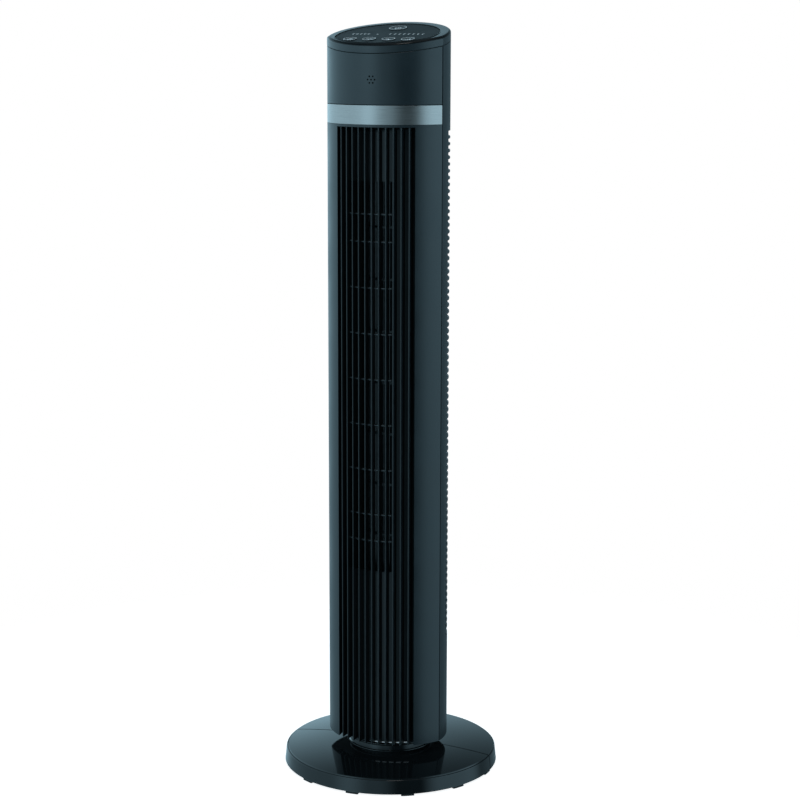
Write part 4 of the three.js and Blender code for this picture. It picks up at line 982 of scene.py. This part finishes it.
# %% [markdown]
# ## Base
# The base is two polished half shells that clip together across the middle. Each half is the
# shell's section swept through a half turn. The sweep starts and ends a hair away from the
# middle plane, which leaves a fine line between the halves. A thin tongue on the front half
# closes that line from below, so that it stays dark. Webs underneath make the base stiff.

# %% Section of the base
RIM_RADIUS = BASE_RADIUS - 2.0
RIM_HEIGHT = 22.0
DOME_EDGE = RIM_RADIUS - 2.6
SEAM = 1.8
LAND_RADIUS = 62.0
BASE_WALL = 3.0
WEB_START = 20.0
WEB_BOTTOM = 9.0
TONGUE_START = 10.0
TONGUE_DROP = 0.8  # from the dome down to the top of the tongue
SCREW_CIRCLE = 39.6
SCREW_HOLE = 1.9


def dome(radius):
    outward = max((radius - LAND_RADIUS) / (DOME_EDGE - LAND_RADIUS), 0)
    return BASE_TOP - (BASE_TOP - RIM_HEIGHT - 1.7) * outward**1.6


def base_section():
    steps = [LAND_RADIUS + (DOME_EDGE - LAND_RADIUS) * i / 12 for i in range(13)]
    outside = [(BASE_RADIUS, SKIRT_BOTTOM + 0.4), (BASE_RADIUS - 0.2, SKIRT_BOTTOM + 1.2)]
    rim = [(0, -0.8), (-0.15, -0.3), (-0.5, 0.1), (-0.9, 0.25), (-1.3, 0.1), (-1.5, -0.4),
           (-1.8, -0.4), (-1.95, 0.3), (-2.2, 0.9)]
    outside += [(RIM_RADIUS + out, RIM_HEIGHT + up) for out, up in rim]
    outside += [(r, dome(r)) for r in reversed(steps)] + [(6.3, BASE_TOP), (6, BASE_TOP - 0.3)]
    inside = [(6, BASE_TOP - BASE_WALL)] + [(r, dome(r) - BASE_WALL) for r in steps[:-1:2]]
    inside += [(RIM_RADIUS - BASE_WALL, RIM_HEIGHT - BASE_WALL),
               (BASE_RADIUS - BASE_WALL, SKIRT_BOTTOM)]
    return outside + inside + [(BASE_RADIUS - 0.4, SKIRT_BOTTOM)]


def base_web(i):
    angle = (i + 0.5) * math.pi / 4
    radii = [WEB_START + (BASE_RADIUS - 34) * k / 10 for k in range(11)]
    section = [(WEB_START, WEB_BOTTOM), (radii[-1], WEB_BOTTOM)]
    section += [(r, dome(r) - BASE_WALL / 2) for r in reversed(radii)]
    rings = []
    for side in (-1, 1):
        rings.append([(r * math.cos(angle) - side * math.sin(angle),
                       r * math.sin(angle) + side * math.cos(angle), z) for r, z in section])
    return loft("web", rings)


def seam_tongue(side):
    """A thin wall that closes the gap between the halves a little below the surface."""
    section = [(TONGUE_START, SKIRT_BOTTOM + 2), (BASE_RADIUS - 1.5, SKIRT_BOTTOM + 2),
               (RIM_RADIUS - 0.8, RIM_HEIGHT - 2.5)]
    radii = (DOME_EDGE - 1, 130, 115, 100, 85, 70, TONGUE_START)
    section += [(r, dome(r) - TONGUE_DROP) for r in radii]
    return loft("tongue", [[(side * r, y, z) for r, z in section] for y in (-1.3, SEAM / 2 - 0.1)])


def base_half(node, side):
    steps = 96
    rings = []
    for i in range(steps + 1):
        ring = []
        for r, z in base_section():
            start = math.asin(SEAM / 2 / r)
            angle = side * (start + (math.pi - 2 * start) * i / steps)
            ring.append((r * math.cos(angle), r * math.sin(angle), z))
        rings.append(ring)
    half = loft(node, rings)
    for i in range(4):
        angle = math.radians(45 + 90 * i)
        if math.sin(angle) * side > 0:
            hole = [(0, 20), (SCREW_HOLE, 20), (SCREW_HOLE, 40), (0, 40)]
            x, y = SCREW_CIRCLE * math.cos(angle), SCREW_CIRCLE * math.sin(angle)
            half = combine(half, turned("hole", hole, 20, x, y))
    if side > 0:
        socket = rod_along_y("socket", 5.3, BASE_RADIUS - 22, BASE_RADIUS + 9, 0, 12.5)
        half = combine(half, socket)
    webs = [base_web(i) for i in range(8) if math.sin((i + 0.5) * math.pi / 4) * side > 0]
    if side < 0:
        webs += [seam_tongue(-1), seam_tongue(1)]
    whole = gather(node, [half, *webs])
    return place(whole, GLOSS, "base", "gloss_plastic", node, smooth=32)


base_half("base_front_half", -1)
base_half("base_rear_half", 1)


# %% [markdown]
# ## Neck ring and feet
# The ring hides the joint between column and base. It has a small bead round its top and
# flares into the base. Under the skirt sit short rubber feet, cut from one section and bevelled.


# %% Neck ring
RING_WALL = 3.0
BEAD_RADIUS = 1.2


def neck_ring():
    outer = high("neck_ring", "x")
    bottom, top = low("neck_ring", "z"), high("neck_ring", "z")
    foot_z = BASE_TOP + 0.05
    section = [(outer - RING_WALL, bottom), (outer - 0.4, bottom), (outer - 0.4, foot_z),
               (outer + 1.6, foot_z), (outer + 1.5, foot_z + 0.4), (outer + 0.8, foot_z + 0.8),
               (outer + 0.1, foot_z + 1.7), (outer - 0.4, top - 3)]
    for i in range(7):
        angle = -math.pi / 2 + math.pi * i / 6
        section.append((outer - BEAD_RADIUS + BEAD_RADIUS * math.cos(angle),
                        top - 1.4 + BEAD_RADIUS * math.sin(angle)))
    section += [(outer - 2.4, top - 0.2), (outer - RING_WALL, top - 0.8)]
    return place(turned("neck_ring", section, 128), GLOSS, "base", "gloss_plastic", "neck_ring",
                 smooth=30)


neck_ring()


# %% Feet
def foot(node):
    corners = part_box(node)
    middle = (corners[0] + corners[1]) / 2
    angle = math.atan2(middle.y, middle.x)
    outer, inner = BASE_RADIUS - 1.2, BASE_RADIUS - 12.2
    step = BASE_RADIUS - 3.9
    top = corners[1].z / MM
    section = [(inner, 0), (outer, 0), (outer, SKIRT_BOTTOM - FIT), (step, SKIRT_BOTTOM - FIT),
               (step, top), (inner, top)]
    rings = []
    for i in range(9):
        turn = angle + math.asin(9 / BASE_RADIUS) * (i / 4 - 1)
        rings.append([(r * math.cos(turn), r * math.sin(turn), z) for r, z in section])
    piece = soften(loft(node, rings), 0.6, 2)
    return place(piece, RUBBER, "base", "rubber", node)


for node in sorted(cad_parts):
    if node.startswith("foot_"):
        foot(node)

# %% [markdown]
# ## Impeller
# Through the window one looks into a long drum of blades. Each blade is a thin curved strip,
# and discs hold the blades at both ends and in between. The blades are worked out from one
# arc of section, turned round the axis.

# %% Blades and discs
BLADES = 30
IMPELLER_RADIUS = (high("impeller", "y") - low("impeller", "y")) / 2
IMPELLER_X = (high("impeller", "x") + low("impeller", "x")) / 2
IMPELLER_Y = (high("impeller", "y") + low("impeller", "y")) / 2


def blade(turn, bottom, top):
    depth, thick, bow = 10.0, 1.1, 2.2
    outline = []
    for offset, order in ((thick / 2, 1), (-thick / 2, -1)):
        for i in range(7)[::order]:
            share = i / 6
            radius = IMPELLER_RADIUS - 0.8 - depth * share
            bend = bow / IMPELLER_RADIUS * math.sin(math.pi * share)
            lean = 0.16 * share + bend + offset / radius
            outline.append((IMPELLER_X + radius * math.cos(turn + lean),
                            IMPELLER_Y + radius * math.sin(turn + lean)))
    return upright("blade", outline, bottom, top)


def impeller():
    bottom, top = low("impeller", "z"), high("impeller", "z")
    parts = [blade(2 * math.pi * i / BLADES, bottom + 1, top - 1) for i in range(BLADES)]
    levels = 9
    for i in range(levels):
        z = bottom + (top - 3 - bottom) * i / (levels - 1)
        inner = 12.3 if i == 0 else 4.3 if i == levels - 1 else IMPELLER_RADIUS - 13
        section = [(inner, z), (IMPELLER_RADIUS, z), (IMPELLER_RADIUS, z + 3), (inner, z + 3)]
        parts.append(turned("disc", section, 64, IMPELLER_X, IMPELLER_Y))
    return place(gather("impeller", parts), GRILLE, "impeller", "grille_plastic", "impeller")


impeller()

# %% [markdown]
# ## Pieces that keep their shape
# Everything else already has the right shape in the working model: plates, motor, shafts,
# boards, screws and the wiring. All of it takes the black inner plastic here, whatever it is
# made of, so its colours are not those of the real materials.

# %% One finish for the carried-over pieces
for name, node in sorted(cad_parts.items()):
    if not node.hide_render:
        node.data.materials.clear()
        node.data.materials.append(INNER)
        print("kept", name, INNER.name)

# %% [markdown]
# ## Floor and light
# The room is a bright studio. The sky is painted by direction: bright at the left, dim a
# little to the right of the eye, and bright again at the far right, so the satin column shows
# soft upright bands of light and dark. It also darkens upwards, which the polished base
# mirrors as a fade from its far edge to its near edge. The camera sees plain white behind the
# fan instead of this sky. The floor is seen by the camera and glows a little, but it lights
# nothing and is mirrored in nothing.


# %% Floor
FLOOR_REACH = 3500
FLOOR_FADE = (0.05, 0.6)  # clear below the first, solid above the second


def make_floor():
    steps = 96
    turns = [2 * math.pi * i / steps for i in range(steps)]
    outline = [(FLOOR_REACH * math.cos(turn), FLOOR_REACH * math.sin(turn)) for turn in turns]
    floor = upright("floor", outline, -6, -0.2)
    material, tree, shader = new_material("pale_floor")
    shader.inputs["Base Color"].default_value = (0.86, 0.87, 0.88, 1)
    shader.inputs["Roughness"].default_value = 0.55
    shader.inputs["Emission Color"].default_value = (1, 1, 1, 1)
    shader.inputs["Emission Strength"].default_value = 0.9
    where = tree.nodes.new("ShaderNodeTexCoord")
    ball = tree.nodes.new("ShaderNodeTexGradient")
    ball.gradient_type = "SPHERICAL"
    fade = mapped(tree, ball.outputs["Fac"], *FLOOR_FADE)
    clear = tree.nodes.new("ShaderNodeBsdfTransparent")
    mix = tree.nodes.new("ShaderNodeMixShader")
    tree.links.new(where.outputs["Object"], ball.inputs["Vector"])
    tree.links.new(fade.outputs["Result"], mix.inputs["Fac"])
    tree.links.new(clear.outputs["BSDF"], mix.inputs[1])
    tree.links.new(shader.outputs["BSDF"], mix.inputs[2])
    tree.links.new(mix.outputs["Shader"], tree.nodes["Material Output"].inputs["Surface"])
    floor.data.materials.append(material)
    floor.visible_diffuse = False
    floor.visible_glossy = False


make_floor()


# %% Sky
PATCH_EDGE = 14  # degrees over which a patch fades, to each side of its half width
SKY_HORIZON = (-0.3, 0.05)  # rise over which a patch gains its upper strength
SKY_FADE = (0.12, 0.65)  # rise over which the whole sky darkens
ZENITH = 0.08
SKY_LEAST = 0.07


def sky_patch(tree, direction, rise, centre, half_width, above, below):
    """A soft upright patch of light round a compass direction, as a node output."""
    strength = mapped(tree, rise, *SKY_HORIZON, below, above)
    toward = tree.nodes.new("ShaderNodeVectorMath")
    toward.operation = "DOT_PRODUCT"
    compass = math.radians(centre)
    toward.inputs[1].default_value = (math.sin(compass), -math.cos(compass), 0)
    tree.links.new(direction, toward.inputs[0])
    dark = math.cos(math.radians(half_width + PATCH_EDGE))
    bright = math.cos(math.radians(max(half_width - PATCH_EDGE, 0)))
    band = mapped(tree, toward.outputs["Value"], dark, bright)
    tree.links.new(strength.outputs["Result"], band.inputs["To Max"])
    return band.outputs["Result"]


def add(tree, a, b, operation="ADD"):
    node = tree.nodes.new("ShaderNodeMath")
    node.operation = operation
    tree.links.new(a, node.inputs[0])
    if isinstance(b, float):
        node.inputs[1].default_value = b
    else:
        tree.links.new(b, node.inputs[1])
    return node.outputs["Value"]


# compass direction (degrees right of straight ahead), half width, strength above and below
PATCHES = [(-86, 72, 1.3, 0.42), (-8, 24, 0.62, 0.38), (94, 28, 1.6, 0.8), (180, 60, 0.22, 0.15)]


def make_sky():
    world = bpy.data.worlds.new("studio")
    bpy.context.scene.world = world
    world.use_nodes = True
    tree = world.node_tree
    where = tree.nodes.new("ShaderNodeTexCoord")
    flat = tree.nodes.new("ShaderNodeVectorMath")
    flat.operation = "MULTIPLY"
    flat.inputs[1].default_value = (1, 1, 0)
    unit = tree.nodes.new("ShaderNodeVectorMath")
    unit.operation = "NORMALIZE"
    parts = tree.nodes.new("ShaderNodeSeparateXYZ")
    tree.links.new(where.outputs["Generated"], flat.inputs[0])
    tree.links.new(flat.outputs["Vector"], unit.inputs[0])
    tree.links.new(where.outputs["Generated"], parts.inputs["Vector"])
    compass, rise = unit.outputs["Vector"], parts.outputs["Z"]
    total = sky_patch(tree, compass, rise, *PATCHES[0])
    for patch in PATCHES[1:]:
        total = add(tree, total, sky_patch(tree, compass, rise, *patch))
    fade = mapped(tree, parts.outputs["Z"], *SKY_FADE, 1.0, ZENITH)
    total = add(tree, add(tree, total, fade.outputs["Result"], "MULTIPLY"), SKY_LEAST)
    light = tree.nodes["Background"]
    light.inputs["Color"].default_value = (0.57, 0.91, 1.08, 1)
    tree.links.new(total, light.inputs["Strength"])
    white = tree.nodes.new("ShaderNodeBackground")
    white.inputs["Color"].default_value = (1, 1, 1, 1)
    white.inputs["Strength"].default_value = 1.0
    path = tree.nodes.new("ShaderNodeLightPath")
    mix = tree.nodes.new("ShaderNodeMixShader")
    tree.links.new(path.outputs["Is Camera Ray"], mix.inputs["Fac"])
    tree.links.new(light.outputs["Background"], mix.inputs[1])
    tree.links.new(white.outputs["Background"], mix.inputs[2])
    tree.links.new(mix.outputs["Shader"], tree.nodes["World Output"].inputs["Surface"])


def make_lamp(name, energy, size, place_at, look_at):
    lamp = bpy.data.objects.new(name, bpy.data.lights.new(name, "AREA"))
    lamp.data.energy = energy
    lamp.data.shape = "RECTANGLE"
    lamp.data.size, lamp.data.size_y = size
    lamp.location = place_at
    aim = Vector(look_at) - Vector(place_at)
    lamp.rotation_euler = aim.to_track_quat("-Z", "Y").to_euler()
    bpy.context.scene.collection.objects.link(lamp)


make_sky()
make_lamp("top_light", 3, (2.0, 2.0), (0.2, -0.3, 2.9), (0, 0, 0))
make_lamp("front_light", 8, (0.7, 0.7), (0.7, -1.3, 3.2), (0, 0, 0.1))
bpy.context.scene.view_settings.view_transform = "Standard"
bpy.context.scene.view_settings.look = "None"
print("light and floor are in place")
